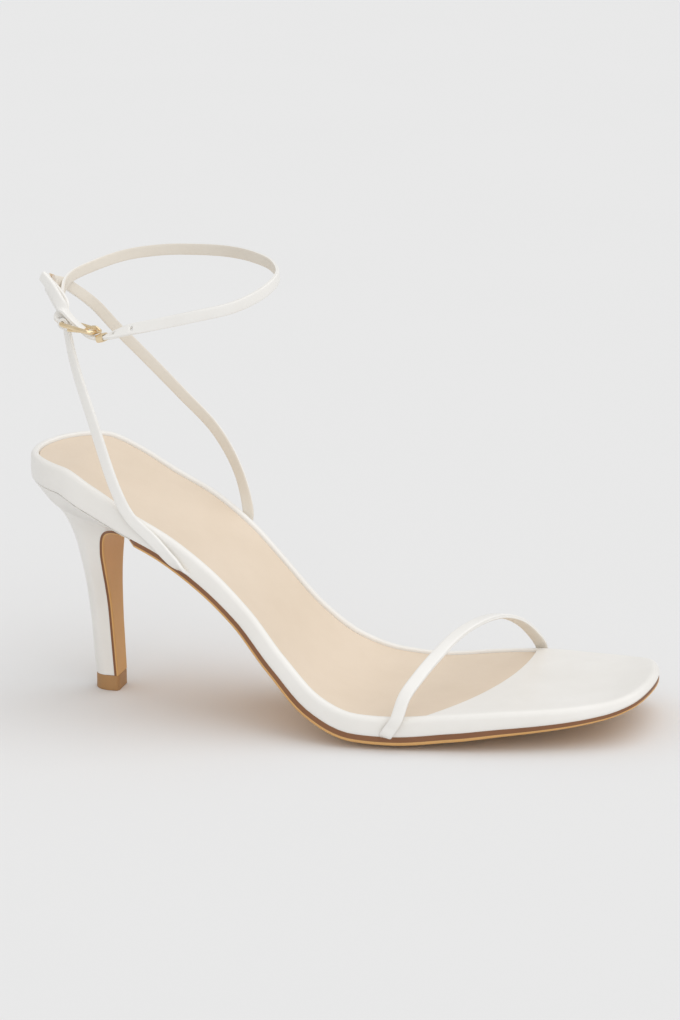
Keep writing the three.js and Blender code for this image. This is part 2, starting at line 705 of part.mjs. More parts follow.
// Frame of the buckle: first runs forward along it, second out from the ankle, third up
const buckleCentre = anklePoint({ along: -0.328, across: -0.437, up: 0.818 });
const buckleFirst = new THREE.Vector3(0.962, -0.228, -0.15).normalize();
const buckleThird = new THREE.Vector3(0, -0.2, 1);
buckleThird.addScaledVector(buckleFirst, -buckleThird.dot(buckleFirst)).normalize();
const buckleSecond = new THREE.Vector3().crossVectors(buckleFirst, buckleThird);
const buckleFrame = new THREE.Matrix4().makeBasis(buckleFirst, buckleSecond.clone().negate(), buckleThird)
  .setPosition(buckleCentre);
const inBuckle = (x, y, z) => new THREE.Vector3(x, y, z).applyMatrix4(buckleFrame);
const upInBuckle = () => buckleThird.clone();
const barReach = BUCKLE_LENGTH / 2 - BUCKLE_WIRE / 2;
const strapStand = BUCKLE_WIRE / 2 + GAP + ANKLE_STRAP_THICKNESS / 2 + BILLET_PLAY;

const outerTuck = tuckRows(OUTER_TUCK_X, -1, OUTER_TUCK_LEAN, ANKLE_STRAP_THICKNESS);
const innerTuck = tuckRows(INNER_TUCK_X, 1, INNER_TUCK_LEAN, ANKLE_STRAP_THICKNESS);

// Outer strap: up from the outer shank, once round the ankle, then as the billet through the buckle
function outerStrapRoute() {
  const billet = [
    { at: inBuckle(barReach, 0, -strapStand), out: upInBuckle() },
    { at: inBuckle(0, 0, 0), out: upInBuckle() },
    { at: inBuckle(-barReach, 0, strapStand + TAB_LIFT), out: upInBuckle() },
  ];
  const tail = tailTable.map(ankleRow);
  return [...outerTuck.slice().reverse(), ...outerStrapTable.map(ankleRow), ...billet, ...tail];
}

function innerStrapRoute() {
  return [...innerTuck.slice().reverse(), ...innerStrapTable.map(ankleRow)];
}

// Round wire along an open line
function wireSolid(points, radius) {
  const line = new THREE.CatmullRomCurve3(points, false, 'centripetal');
  const steps = SPAN_STEPS * (points.length - 1);
  const rings = [];
  for (let i = 0; i <= steps; i += 1) {
    const at = line.getPoint(i / steps);
    const along = line.getTangent(i / steps);
    const first = new THREE.Vector3().crossVectors(buckleSecond, along).normalize();
    const second = new THREE.Vector3().crossVectors(along, first);
    rings.push(Array.from({ length: WIRE_SIDES }, (_, k) => {
      const angle = 2 * Math.PI * k / WIRE_SIDES;
      return at.clone().addScaledVector(first, radius * Math.cos(angle))
        .addScaledVector(second, radius * Math.sin(angle));
    }));
  }
  return solid(ringsToGeometry(rings));
}

// Buckle frame: a round-cornered rectangle of wire
function buckleFrameSolid() {
  const long = barReach;
  const short = BUCKLE_HEIGHT / 2 - BUCKLE_WIRE / 2;
  const corner = BUCKLE_CORNER;
  const radius = BUCKLE_WIRE / 2;
  const rings = [];
  const corners = [[1, 1, 0], [-1, 1, 1], [-1, -1, 2], [1, -1, 3]];
  corners.forEach(([x, y, turn]) => {
    for (let i = 0; i <= 4; i += 1) {
      const angle = (turn + i / 4) * Math.PI / 2;
      const [cos, sin] = [Math.cos(angle), Math.sin(angle)];
      const at = [x * (long - corner) + corner * cos, y * (short - corner) + corner * sin];
      rings.push(Array.from({ length: WIRE_SIDES }, (_, k) => {
        const round = 2 * Math.PI * k / WIRE_SIDES;
        const reach = radius * Math.cos(round);
        return inBuckle(at[0] + reach * cos, at[1] + reach * sin, radius * Math.sin(round));
      }));
    }
  });
  rings.push(rings[0]);
  return solid(ringsToGeometry(rings, false, false));
}

// Prong from behind the back bar, through the billet's hole, over the front bar. along is a share
// of the bars' distance from the middle, and up is a share of the prong's height over the bar.
const prongTable = [
  { along: -0.75, up: -1.31 },
  { along: -0.4, up: -1.09 },
  { along: 0.19, up: -0.56 },
  { along: 0.58, up: 0.56 },
  { along: 0.94, up: 1 },
  { along: 1.21, up: 0.66 },
];
const prongStand = BUCKLE_WIRE / 2 + GAP + PRONG_WIRE / 2;
const prongLine = prongTable.map(({ along, up }) => inBuckle(barReach * along, 0, prongStand * up));

// Buckle tab: a sleeve round the back bar and a wide flat band that runs back to the inner strap
function sleeveSolid() {
  const inner = BUCKLE_WIRE / 2 + GAP;
  const outer = inner + SLEEVE_WALL;
  const half = ANKLE_STRAP_WIDTH / 2;
  const profile = [[inner, -half], [outer, -half], [outer, half], [inner, half], [inner, -half]];
  const ring = new THREE.LatheGeometry(profile.map(([x, y]) => new THREE.Vector2(x, y)), 16);
  ring.applyMatrix4(new THREE.Matrix4().makeTranslation(-barReach, 0, 0).premultiply(buckleFrame));
  return solid(ring);
}

const tabTable = [
  { along: -0.468, across: -0.328, up: 0.905, tip: 0.6 },
  { along: -0.530, across: -0.235, up: 0.965, tip: 0.3 },
  { along: -0.560, across: -0.152, up: 1.020, tip: 0.1 },
];

function tabSolid() {
  const start = SLEEVE_WALL + BUCKLE_WIRE / 2;
  const route = [
    { at: inBuckle(-barReach - start, 0, 0), out: upInBuckle(), wide: TAB_NECK },
    { at: inBuckle(-barReach - start * 1.5, 0, TAB_THICKNESS / 2), out: upInBuckle(), wide: TAB_NECK },
    ...tabTable.map(ankleRow),
  ];
  return strapSolid(route, TAB_WIDTH, TAB_THICKNESS).add(sleeveSolid());
}

const toeStrap = strapSolid(toeStrapRoute(), TOE_STRAP_WIDTH, TOE_STRAP_THICKNESS);
const outerStrap = strapSolid(outerStrapRoute(), ANKLE_STRAP_WIDTH, ANKLE_STRAP_THICKNESS);
const innerStrap = strapSolid(innerStrapRoute(), ANKLE_STRAP_WIDTH, ANKLE_STRAP_THICKNESS);
const prong = wireSolid(prongLine, PRONG_WIRE / 2);
const prongHole = wireSolid(prongLine, PRONG_WIRE / 2 + GAP);
const ankleStraps = outerStrap.add(innerStrap).subtract(prongHole);
const buckle = buckleFrameSolid();
const tab = tabSolid();

const tucks = [
  tuckTool(toeTucks.outer, TOE_STRAP_WIDTH, TOE_STRAP_THICKNESS),
  tuckTool(toeTucks.inner, TOE_STRAP_WIDTH, TOE_STRAP_THICKNESS),
  tuckTool(outerTuck, ANKLE_STRAP_WIDTH, ANKLE_STRAP_THICKNESS),
  tuckTool(innerTuck, ANKLE_STRAP_WIDTH, ANKLE_STRAP_THICKNESS),
];

const footbed = largestPart(tucks.reduce((body, tool) => body.subtract(tool), footbedSolid()));
const outsole = largestPart(tucks.reduce((body, tool) => body.subtract(tool), outsoleSolid()));
const sock = sockSolid();
const heel = heelSolid();
const topPiece = topPieceSolid();

// Named meshes with the colours of the real pieces
const finishes = {
  white: { color: '#f3efe8', roughness: 0.42, metalness: 0 },
  sock: { color: '#ead6c2', roughness: 0.6, metalness: 0 },
  tan: { color: '#b48a5c', roughness: 0.55, metalness: 0 },
  gold: { color: '#d9b36a', roughness: 0.25, metalness: 1 },
};

const sandal = new THREE.Group();
function add(name, body, finish) {
  const mesh = new THREE.Mesh(toGeometry(body), new THREE.MeshStandardMaterial(finishes[finish]));
  mesh.name = name;
  sandal.add(mesh);
}

add('footbed', footbed, 'white');
add('insole', sock, 'sock');
add('outsole', outsole, 'tan');
add('heel', heel, 'white');
add('top_piece', topPiece, 'tan');
add('toe_strap', toeStrap, 'white');
add('ankle_straps', ankleStraps, 'white');
add('buckle_frame', buckle, 'gold');
add('buckle_prong', prong, 'gold');
add('buckle_tab', tab, 'white');

export default sandal;
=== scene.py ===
import math

import bmesh
import bpy
import numpy as np
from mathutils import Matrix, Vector


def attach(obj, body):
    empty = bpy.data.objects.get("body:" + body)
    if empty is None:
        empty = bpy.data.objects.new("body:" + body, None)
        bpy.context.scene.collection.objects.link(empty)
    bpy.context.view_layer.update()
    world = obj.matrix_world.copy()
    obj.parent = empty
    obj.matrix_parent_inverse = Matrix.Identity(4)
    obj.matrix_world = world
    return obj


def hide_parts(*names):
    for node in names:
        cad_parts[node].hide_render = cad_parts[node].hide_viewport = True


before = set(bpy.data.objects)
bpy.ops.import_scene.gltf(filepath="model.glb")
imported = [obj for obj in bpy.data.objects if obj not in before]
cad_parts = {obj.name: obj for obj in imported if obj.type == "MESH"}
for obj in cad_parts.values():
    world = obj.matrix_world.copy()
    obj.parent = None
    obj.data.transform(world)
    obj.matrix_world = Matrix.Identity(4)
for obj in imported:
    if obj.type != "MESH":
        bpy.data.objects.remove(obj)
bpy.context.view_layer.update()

# Camera at the photograph's angle, drawn nearer to the one shoe
CAMERA_PLACE = (406.0, -1242.5, 413.0)
CAMERA_AIM = (86.0, -4.0, 72.0)
CAMERA_LENS = 134.5

# Sizes of the sole
SOLE_LENGTH = 223.8
HEEL_OVERHANG = 27.3
BALL_WIDTH = 81.5
SEAT_HEIGHT = 87.2
TREAD_HEIGHT = 11.9
TOE_SPRING = 6.7
RAND_HEIGHT = 7.4
OUTSOLE_THICKNESS = 2.8
FLAP_THICKNESS = 1.4
SOLE_CROWN = 2.3
FOOT_DISH = 2.2
EDGE_ROUND = 2.2
EDGE_ROUND_SHARE = 0.6
OUTSOLE_INSET = 0.3
RIM_WIDTH = 2.9
RIM_INNER_ROUND = 0.7
SOCK_THICKNESS = 1.0
SOCK_DROP = 1.0
SOCK_FRONT = 171.8
SOCK_SLANT = 0.26
SOCK_BOW = 0.004
SOCK_GAP = 0.18
HOLLOW_PLAY = 0.15
SEAM_GAP = 0.05

# Sizes of the heel
TIP_LENGTH = 9.6
TIP_WIDTH = 10.8
TIP_HEIGHT = 5.6
HEEL_WAIST_WIDTH = 28.6
CUP_REACH = 19.5
CUP_FRONT = 21.5
FLAP_TURN = 23.5
TIP_SETBACK = 0.2
TIP_CORNER = 1.2
TIP_LIP = 0.1
HEEL_ROUND_PART = 0.62

# Sizes of the straps and buckle
TOE_STRAP_WIDTH = 4.3
TOE_STRAP_THICKNESS = 1.9
TOE_STRAP_RISE = 21.8
TOE_STRAP_OUTER_X = 117
TOE_STRAP_INNER_X = 149
TOE_STRAP_LEAN = -4
ANKLE_STRAP_WIDTH = 4
ANKLE_STRAP_THICKNESS = 1.6
ANKLE_LENGTH = 77
ANKLE_WIDTH = 54.5
ANKLE_HEIGHT = 148
ANKLE_X = 25.3
ANKLE_Y = -3.2
OUTER_TUCK_X = 17.5
OUTER_TUCK_LEAN = 25
INNER_TUCK_X = 45.5
INNER_TUCK_LEAN = 3
TAB_LIFT = 1.4
TUCK_LENGTH = 7
BUCKLE_LENGTH = 14
BUCKLE_HEIGHT = 9.4
BUCKLE_WIRE = 1.5
PRONG_WIRE = 1.1
BUCKLE_CORNER = 1.8
TAB_WIDTH = 6.6
TAB_THICKNESS = 1.6
TAB_NECK = 0.55
SLEEVE_WALL = 0.9
KEEPER_LENGTH = 2.4
KEEPER_WALL = 0.5
KEEPER_PLAY = 0.12
KEEPER_SPOT = 24.78
BILLET_PLAY = 0.15
SLEEVE_PLAY = 0.08
SLEEVE_EDGE = 0.25
HOLE_RADIUS = 0.62
PUNCH_REACH = 2.5
STRAP_SEAM = 0.07
GAP = 0.3

# Place of the buckle as shares of the ankle's sizes, and the ways it lies
BUCKLE_PLACE = (-0.328, -0.437, 0.818)
BUCKLE_ALONG = (0.962, -0.228, -0.15)
BUCKLE_UP = (0, 0.1, 1.0)

# Fineness of the curved faces, and the angles in degrees over which an edge stays sharp
RIM_INNER_STEPS = 4
RIM_OUTER_STEPS = 7
SOLE_COLUMNS = 25
SOLE_STEPS = 121
FLAP_STEPS = 64
HEEL_STEPS = 70
STRAP_EDGE_STEPS = 7
CORNER_STEPS = 12
PRONG_STEPS = 12
BED_SHARP = 40
SOLE_SHARP = 42
STRAP_SHARP = 45
HEEL_SHARP = 50
WIRE_SHARP = 60

# Outline and side view of the foot at shares of the sole's length: at, centre, half, rise,
# spring
LAST_TABLE = np.array([
    (0.00, 0.012, 0.000, 1.006, 0.00),
    (0.03, 0.012, 0.425, 1.008, 0.00),
    (0.08, 0.018, 0.622, 0.998, 0.00),
    (0.14, 0.001, 0.717, 0.927, 0.00),
    (0.20, -0.023, 0.734, 0.834, 0.00),
    (0.27, -0.058, 0.720, 0.740, 0.00),
    (0.34, -0.097, 0.691, 0.606, 0.00),
    (0.40, -0.125, 0.667, 0.442, 0.00),
    (0.46, -0.140, 0.724, 0.244, 0.00),
    (0.52, -0.134, 0.856, 0.089, 0.00),
    (0.58, -0.104, 0.970, 0.017, 0.00),
    (0.64, -0.066, 1.008, 0.000, 0.00),
    (0.72, -0.023, 1.016, 0.000, 0.18),
    (0.80, 0.004, 0.972, 0.000, 0.37),
    (0.88, 0.027, 0.864, 0.000, 0.45),
    (0.94, 0.043, 0.731, 0.000, 0.60),
    (0.98, 0.046, 0.549, 0.000, 0.86),
    (1.00, 0.048, 0.000, 0.000, 1.00),
])

# Layers of the sole at the same shares: at, rand, sole, crown, dish, and cant in millimetres
LAYER_TABLE = np.array([
    (0.00, 1.26, 0.60, 0.00, 0.10, 0.3),
    (0.03, 1.26, 0.60, 0.02, 0.45, 0.6),
    (0.08, 1.26, 0.60, 0.05, 0.75, 1.0),
    (0.14, 1.23, 0.62, 0.08, 0.85, 1.0),
    (0.20, 1.10, 0.66, 0.11, 0.90, 1.1),
    (0.27, 1.00, 0.70, 0.13, 0.95, 1.5),
    (0.34, 0.92, 0.72, 0.16, 1.00, 1.9),
    (0.40, 0.83, 0.74, 0.22, 1.00, 2.1),
    (0.46, 0.81, 0.78, 0.40, 0.95, 2.1),
    (0.52, 0.85, 0.88, 0.72, 0.80, 1.8),
    (0.58, 0.92, 0.96, 0.94, 0.65, 0.9),
    (0.64, 0.92, 1.00, 1.00, 0.55, 0.1),
    (0.72, 0.88, 1.00, 0.88, 0.40, 0.0),
    (0.80, 0.80, 0.86, 0.66, 0.20, 0.0),
    (0.88, 0.68, 0.68, 0.44, 0.05, 0.0),
    (0.94, 0.57, 0.55, 0.26, 0.00, 0.0),
    (0.98, 0.47, 0.45, 0.08, 0.00, 0.0),
    (1.00, 0.40, 0.42, 0.00, 0.00, 0.0),
])

# Heel from the seat down, as shares of the cup's reach, the seat's height and the waist's
# width: back, back up, front, front up, half
HEEL_TABLE = np.array([
    (-1.130, 0.846, 0.760, 0.7100, 1.66),
    (-0.945, 0.808, 0.500, 0.7120, 1.46),
    (-0.795, 0.768, 0.285, 0.7010, 1.24),
    (-0.680, 0.718, 0.175, 0.6770, 1.05),
    (-0.560, 0.650, 0.130, 0.6400, 0.935),
    (-0.468, 0.564, 0.115, 0.5900, 0.850),
    (-0.396, 0.470, 0.120, 0.5280, 0.715),
    (-0.352, 0.373, 0.137, 0.4500, 0.570),
    (-0.312, 0.275, 0.160, 0.3670, 0.475),
    (-0.280, 0.154, 0.180, 0.2752, 0.425),
])

# Strap's way under the footbed: on, down, stand, under, face
TUCK_TABLE = [
    (0.05, 0.05, 1, 0, 0),
    (0.45, 0.45, 1, 0, 0),
    (0.80, 0.80, 0.85, 0, 0.25),
    (0.98, 0.92, -0.4, 0, 0.7),
    (1.14, 0.86, 0, 0.5, 1),
    (1.32, 0.86, 0, 1, 1),
]

# Toe strap over the foot: along, across, up, lean
TOE_ARCH_TABLE = [
    (0.06, 0.045, 0.32, -0.94),
    (0.16, 0.12, 0.55, -0.8),
    (0.28, 0.23, 0.76, -0.6),
    (0.42, 0.37, 0.94, -0.32),
    (0.56, 0.5, 1, -0.05),
    (0.70, 0.65, 0.93, 0.3),
    (0.82, 0.78, 0.73, 0.6),
    (0.92, 0.89, 0.43, 0.85),
]

# Ankle straps, tail and tab as shares of the ankle's sizes: along, across, up, tip
OUTER_STRAP_TABLE = [
    (-0.150, -0.548, -0.090, 0),
    (-0.272, -0.490, 0.313, 0),
    (-0.368, -0.395, 0.590, 0),
    (-0.430, -0.290, 0.805, 0),
    (-0.478, -0.150, 0.950, 0),
    (-0.492, 0.059, 1.007, 0),
    (-0.432, 0.270, 1.043, 0),
    (-0.309, 0.431, 1.089, 0),
    (-0.147, 0.499, 1.118, 0),
    (0.022, 0.484, 1.133, 0),
    (0.191, 0.385, 1.148, 0),
    (0.340, 0.235, 1.151, 0),
    (0.457, 0.083, 1.133, 0),
    (0.510, -0.070, 1.095, 0),
    (0.477, -0.239, 1.036, 0),
    (0.373, -0.396, 0.974, 0),
    (0.217, -0.477, 0.928, 0),
    (0.035, -0.503, 0.872, 0.15),
    (-0.074, -0.497, 0.838, 0.7),
]
INNER_STRAP_TABLE = [
    (0.210, 0.510, -0.192, 0),
    (0.100, 0.521, 0.051, 0),
    (-0.069, 0.517, 0.268, 0),
    (-0.231, 0.462, 0.490, 0),
    (-0.342, 0.371, 0.663, 0),
    (-0.424, 0.246, 0.827, 0),
    (-0.500, 0.095, 0.950, 0),
    (-0.503, -0.033, 0.993, 0),
    (-0.522, -0.134, 1.020, 0),
]
TAIL_TABLE = [
    (-0.435, -0.385, 0.945, 0.6),
    (-0.491, -0.320, 1.020, 0.3),
    (-0.542, -0.275, 1.075, 0.2),
]
TAB_TABLE = [
    (-0.4355, -0.328, 0.905, 0.6),
    (-0.493, -0.235, 0.965, 0.3),
    (-0.548, -0.152, 1.015, 0.1),
    (-0.538, -0.040, 0.997, 0.0),
]

# Prong through the billet and over the front bar: along, up
PRONG_TABLE = [
    (-0.75, -1.31),
    (-0.4, -1.09),
    (0.19, -0.56),
    (0.58, 0.56),
    (0.94, 1),
    (1.21, 0.66),
]

# Places of the billet's punched holes along the outer strap's route
HOLE_SPOTS = (24.0, 24.5)


# Monotone curve through one column of a table
def curve(xs, ys):
    xs = np.asarray(xs, float)
    ys = np.asarray(ys, float)
    steps = np.diff(xs)
    slopes = np.diff(ys) / steps
    tangents = np.zeros(len(xs))
    tangents[0], tangents[-1] = slopes[0], slopes[-1]
    for i in range(1, len(xs) - 1):
        if slopes[i - 1] * slopes[i] > 0:
            first = 2 * steps[i] + steps[i - 1]
            second = steps[i] + 2 * steps[i - 1]
            tangents[i] = (first + second) / (first / slopes[i - 1] + second / slopes[i])

    def read(x):
        x = np.asarray(x, float)
        i = np.clip(np.searchsorted(xs, x, side="left") - 1, 0, len(xs) - 2)
        step = steps[i]
        u = np.clip((x - xs[i]) / step, 0, 1)
        bend = u * u * (3 - 2 * u)
        leave = u * (1 - u) ** 2 * step * tangents[i]
        arrive = u * u * (u - 1) * step * tangents[i + 1]
        return ys[i] * (1 - bend) + ys[i + 1] * bend + leave + arrive
    return read


# Share of the length as an angle, so that the outline closes round at both ends
def angle_at(share):
    return np.arccos(np.clip(1 - 2 * np.asarray(share, float), -1, 1)) / np.pi


def share_at(angle):
    return (1 - np.cos(np.pi * np.asarray(angle, float))) / 2


AT = LAST_TABLE[:, 0]
half_curve = curve(angle_at(AT), LAST_TABLE[:, 2])
centre_curve = curve(AT, LAST_TABLE[:, 1])
rise_curve = curve(AT, LAST_TABLE[:, 3])
spring_curve = curve(AT, LAST_TABLE[:, 4])
rand_curve = curve(AT, LAYER_TABLE[:, 1])
sole_curve = curve(AT, LAYER_TABLE[:, 2])
crown_curve = curve(AT, LAYER_TABLE[:, 3])
dish_curve = curve(AT, LAYER_TABLE[:, 4])
cant_curve = curve(AT, LAYER_TABLE[:, 5])


def to_share(x):
    return (np.asarray(x, float) + HEEL_OVERHANG) / SOLE_LENGTH


def to_x(share):
    return share * SOLE_LENGTH - HEEL_OVERHANG


def rand_depth(x):
    return RAND_HEIGHT * rand_curve(to_share(x))


def sole_depth(x):
    return OUTSOLE_THICKNESS * sole_curve(to_share(x))


def top_height(x):
    share = to_share(x)
    climb = (SEAT_HEIGHT - TREAD_HEIGHT) * rise_curve(share)
    return TREAD_HEIGHT + climb + TOE_SPRING * spring_curve(share)


def slope_angle(x):
    start = np.maximum(x - 2.5, to_x(0))
    end = np.minimum(x + 2.5, to_x(1))
    return np.arctan2(top_height(end) - top_height(start), end - start)


# Rise of the bed towards the inner side of the foot and fall towards the outer side
def cant(x, y):
    share = to_share(x)
    half = np.maximum(half_curve(angle_at(share)), 0.05) * BALL_WIDTH / 2
    return cant_curve(share) * np.clip((y - BALL_WIDTH * centre_curve(share)) / half, -1.1, 1.1)


# A point at a depth below the foot's top face, square to the side view
def place(x, y, depth):
    x, y, depth = np.broadcast_arrays(
        np.asarray(x, float), np.asarray(y, float), np.asarray(depth, float))
    angle = slope_angle(x)
    height = top_height(x) + cant(x, y)
    return np.stack([x + depth * np.sin(angle), y, height - depth * np.cos(angle)], -1)


OUTLINES = {}


# Plan outline drawn in by an inset: its first and last X, and its two side edges at an X
def outline(inset):
    key = round(float(inset), 4)
    if key in OUTLINES:
        return OUTLINES[key]
    steps = 720
    share = share_at(np.arange(steps + 1) / steps)
    sides = []
    for side in (-1, 1):
        x = to_x(share)
        half = half_curve(np.arange(steps + 1) / steps)
        y = BALL_WIDTH * centre_curve(share) + side * (BALL_WIDTH / 2) * half
        dx, dy = np.gradient(x), np.gradient(y)
        size = np.hypot(dx, dy)
        in_x, in_y = side * dy / size, -side * dx / size
        in_x[0], in_y[0], in_x[-1], in_y[-1] = 1, 0, -1, 0
        px, py = x + inset * in_x, y + inset * in_y
        order = np.argsort(px, kind="stable")
        sides.append((px[order], py[order]))

    def edges(at):
        low = np.interp(at, *sides[0])
        high = np.interp(at, *sides[1])
        middle = (low + high) / 2
        return np.where(low < high, low, middle), np.where(low < high, high, middle)
    OUTLINES[key] = (to_x(0) + inset, to_x(1) - inset, edges)
    return OUTLINES[key]


# Share of the half width that a point lies from the middle of the outline, up to 1 at the edge
def side_share(x, y):
    low, high = outline(0)[2](x)
    wide = np.maximum(high - low, 1e-6)
    return np.minimum(np.abs(2 * y - low - high) / wide, 1)


# Depth of the joint between the footbed and what lies under it
def joint_depth(x, y):
    return rand_depth(x) + SOLE_CROWN * crown_curve(to_share(x)) * (1 - side_share(x, y) ** 2.4)


# Hollow of the foot
def foot_depth(x, y):
    return FOOT_DISH * dish_curve(to_share(x)) * (1 - side_share(x, y) ** 2)


# Front edge of the sock, which runs slantwise over the foot
def sock_front(y):
    return SOCK_FRONT - HEEL_OVERHANG + SOCK_SLANT * y - SOCK_BOW * y * y


# Meshes from rings of points
def make_mesh(name, points, faces, sharp, marks):
    mesh = bpy.data.meshes.new(name)
    mesh.from_pydata([tuple(p) for p in np.asarray(points) * 0.001], [], faces)
    mesh.polygons.foreach_set("material_index", marks)
    mesh.validate()
    piece = bpy.data.objects.new(name, mesh)
    bpy.context.scene.collection.objects.link(piece)
    tidy(piece, sharp)
    return piece


# Weld, drop slivers, face outwards and shade smooth up to a sharp angle
def tidy(piece, sharp):
    work = bmesh.new()
    work.from_mesh(piece.data)
    bmesh.ops.remove_doubles(work, verts=work.verts, dist=1e-6)
    bmesh.ops.dissolve_degenerate(work, dist=1e-7, edges=work.edges)
    bmesh.ops.recalc_face_normals(work, faces=work.faces)
    if work.calc_volume(signed=True) < 0:
        bmesh.ops.reverse_faces(work, faces=work.faces)
    work.to_mesh(piece.data)
    work.free()
    piece.data.shade_smooth()
    piece.data.set_sharp_from_angle(angle=math.radians(sharp))


# Skin over closed rings. second names the faces of a ring that take the second material.
def lofted(name, rings, sharp, cap_first=True, cap_last=True, second=()):
    rings = [np.asarray(r, float) for r in rings]
    count = len(rings[0])
    faces = []
    marks = []
    for i in range(len(rings) - 1):
        a = i * count
        for j in range(count):
            k = (j + 1) % count
            faces.append((a + j, a + k, a + count + k, a + count + j))
            marks.append(int(j in second))
    points = list(np.concatenate(rings))
    for end, wanted in ((0, cap_first), (len(rings) - 1, cap_last)):
        if not wanted:
            continue
        middle = rings[end].mean(0)
        points.append(middle)
        for j in range(count):
            faces.append((end * count + j, end * count + (j + 1) % count, len(points) - 1))
            marks.append(0)
    return make_mesh(name, points, faces, sharp, marks)


# Point of a centripetal curve through rows of points, at a share t of its spans
def route_point(points, t):
    points = np.asarray(points, float)
    p = (len(points) - 1) * t
    i = min(int(math.floor(p)), len(points) - 2)
    w = p - i
    p1, p2 = points[i], points[i + 1]
    p0 = points[i - 1] if i > 0 else 2 * p1 - p2
    p3 = points[i + 2] if i + 2 < len(points) else 2 * p2 - p1
    d0 = max(np.sum((p0 - p1) ** 2) ** 0.25, 1e-4)
    d1 = max(np.sum((p1 - p2) ** 2) ** 0.25, 1e-4)
    d2 = max(np.sum((p2 - p3) ** 2) ** 0.25, 1e-4)
    t1 = ((p1 - p0) / d0 - (p2 - p0) / (d0 + d1) + (p2 - p1) / d1) * d1
    t2 = ((p2 - p1) / d1 - (p3 - p1) / (d1 + d2) + (p3 - p2) / d2) * d1
    c2 = -3 * p1 + 3 * p2 - 2 * t1 - t2
    c3 = 2 * p1 - 2 * p2 + t1 + t2
    return p1 + t1 * w + c2 * w * w + c3 * w ** 3


def unit(v):
    return np.asarray(v, float) / max(np.linalg.norm(v), 1e-12)


# Point of a route with the ways along it, out of its face and across it
def route_frame(rows, t):
    places = [r[0] for r in rows]
    ways = [r[1] for r in rows]
    at = route_point(places, t)
    along = unit(route_point(places, min(t + 1e-4, 1)) - route_point(places, max(t - 1e-4, 0)))
    out = route_point(ways, t)
    out = unit(out - along * out.dot(along))
    return at, along, out, np.cross(out, along)


# Strap section as shares of half its width and thickness: crowned front, flatter back, rounded
# folded edges and a fine groove along each edge
def strap_section():
    flat, turn, deep = 0.66, 0.34, 0.42
    front_crown, back_crown, groove = 0.16, 0.06, 0.05
    quarter = np.linspace(0, math.pi / 2, STRAP_EDGE_STEPS)
    arc = [(flat + turn * math.cos(a), deep + deep * math.sin(a)) for a in quarter]
    corners = []
    for side, face in ((1, 1), (-1, 1), (-1, -1), (1, -1)):
        crown = front_crown if face > 0 else back_crown
        for w, h in arc if side == face else arc[::-1]:
            corners.append((side * w, face * (h + crown * (1 - w * w))))
    half = 2 * STRAP_EDGE_STEPS
    edge = 1 - STRAP_SEAM
    return (corners[:half] + [(-edge, groove), (-edge, -groove)]
            + corners[half:] + [(edge, -groove), (edge, groove)])


# Faces of a strap's section that its lining covers
LINING_FACES = range(2 * STRAP_EDGE_STEPS + 3, 4 * STRAP_EDGE_STEPS + 1)


# Rings of a strap along its rows, with its width's share at each row
def strap_rings(rows, width, thickness, per_span, wide):
    section = strap_section()
    spans = len(rows) - 1
    steps = spans * per_span
    rings = []
    for i in range(steps + 1):
        at, along, out, across = route_frame(rows, i / steps)
        share = float(np.interp(i / per_span, range(spans + 1), wide)) if wide else 1.0
        rings.append([
            at + across * w * share * width / 2 + out * h * thickness / 2 for w, h in section
        ])
    return rings


# Way down square to the side view
def below_at(x):
    return place(x, 0, 1) - place(x, 0, 0)


# How a strap goes down the rand and in under the footbed
def tuck_rows(x, side, lean, thickness):
    distance = GAP + thickness / 2
    rows = []
    for on, down, stand, under, face in TUCK_TABLE:
        at = x + lean * on
        edge = outline(0)[2](at)[0 if side < 0 else 1]
        y = edge + side * (stand * distance - under * TUCK_LENGTH)
        out = np.array([0, side * (1 - face), 0]) + below_at(at) * face
        rows.append((place(at, y, rand_depth(at) * down), unit(out)))
    return rows


# Point of an ankle route at shares of the ankle's length, width and height
def ankle_point(along, across, up):
    return np.array([
        ANKLE_X + ANKLE_LENGTH * along,
        ANKLE_Y + ANKLE_WIDTH * across,
        SEAT_HEIGHT + (ANKLE_HEIGHT - SEAT_HEIGHT) * up,
    ])


# Row of a route: its point, and the way it faces, out from the ankle and tipped up by a share
def ankle_row(along, across, up, tip):
    out = unit([along / ANKLE_LENGTH, across / ANKLE_WIDTH, 0])
    out[2] = tip
    return ankle_point(along, across, up), unit(out)


buckle_centre = ankle_point(*BUCKLE_PLACE)
buckle_first = unit(BUCKLE_ALONG)
buckle_third = np.array(BUCKLE_UP)
buckle_third = unit(buckle_third - buckle_first * buckle_third.dot(buckle_first))
buckle_second = np.cross(buckle_first, buckle_third)


# Point in the buckle's own frame: along it, across it and up off its face
def in_buckle(x, y, z):
    return buckle_centre + buckle_first * x - buckle_second * y + buckle_third * z


bar_reach = BUCKLE_LENGTH / 2 - BUCKLE_WIRE / 2
strap_stand = BUCKLE_WIRE / 2 + GAP + ANKLE_STRAP_THICKNESS / 2 + BILLET_PLAY

toe_outer = tuck_rows(TOE_STRAP_OUTER_X, -1, TOE_STRAP_LEAN, TOE_STRAP_THICKNESS)
toe_inner = tuck_rows(TOE_STRAP_INNER_X, 1, 0, TOE_STRAP_THICKNESS)
outer_tuck = tuck_rows(OUTER_TUCK_X, -1, OUTER_TUCK_LEAN, ANKLE_STRAP_THICKNESS)
inner_tuck = tuck_rows(INNER_TUCK_X, 1, INNER_TUCK_LEAN, ANKLE_STRAP_THICKNESS)


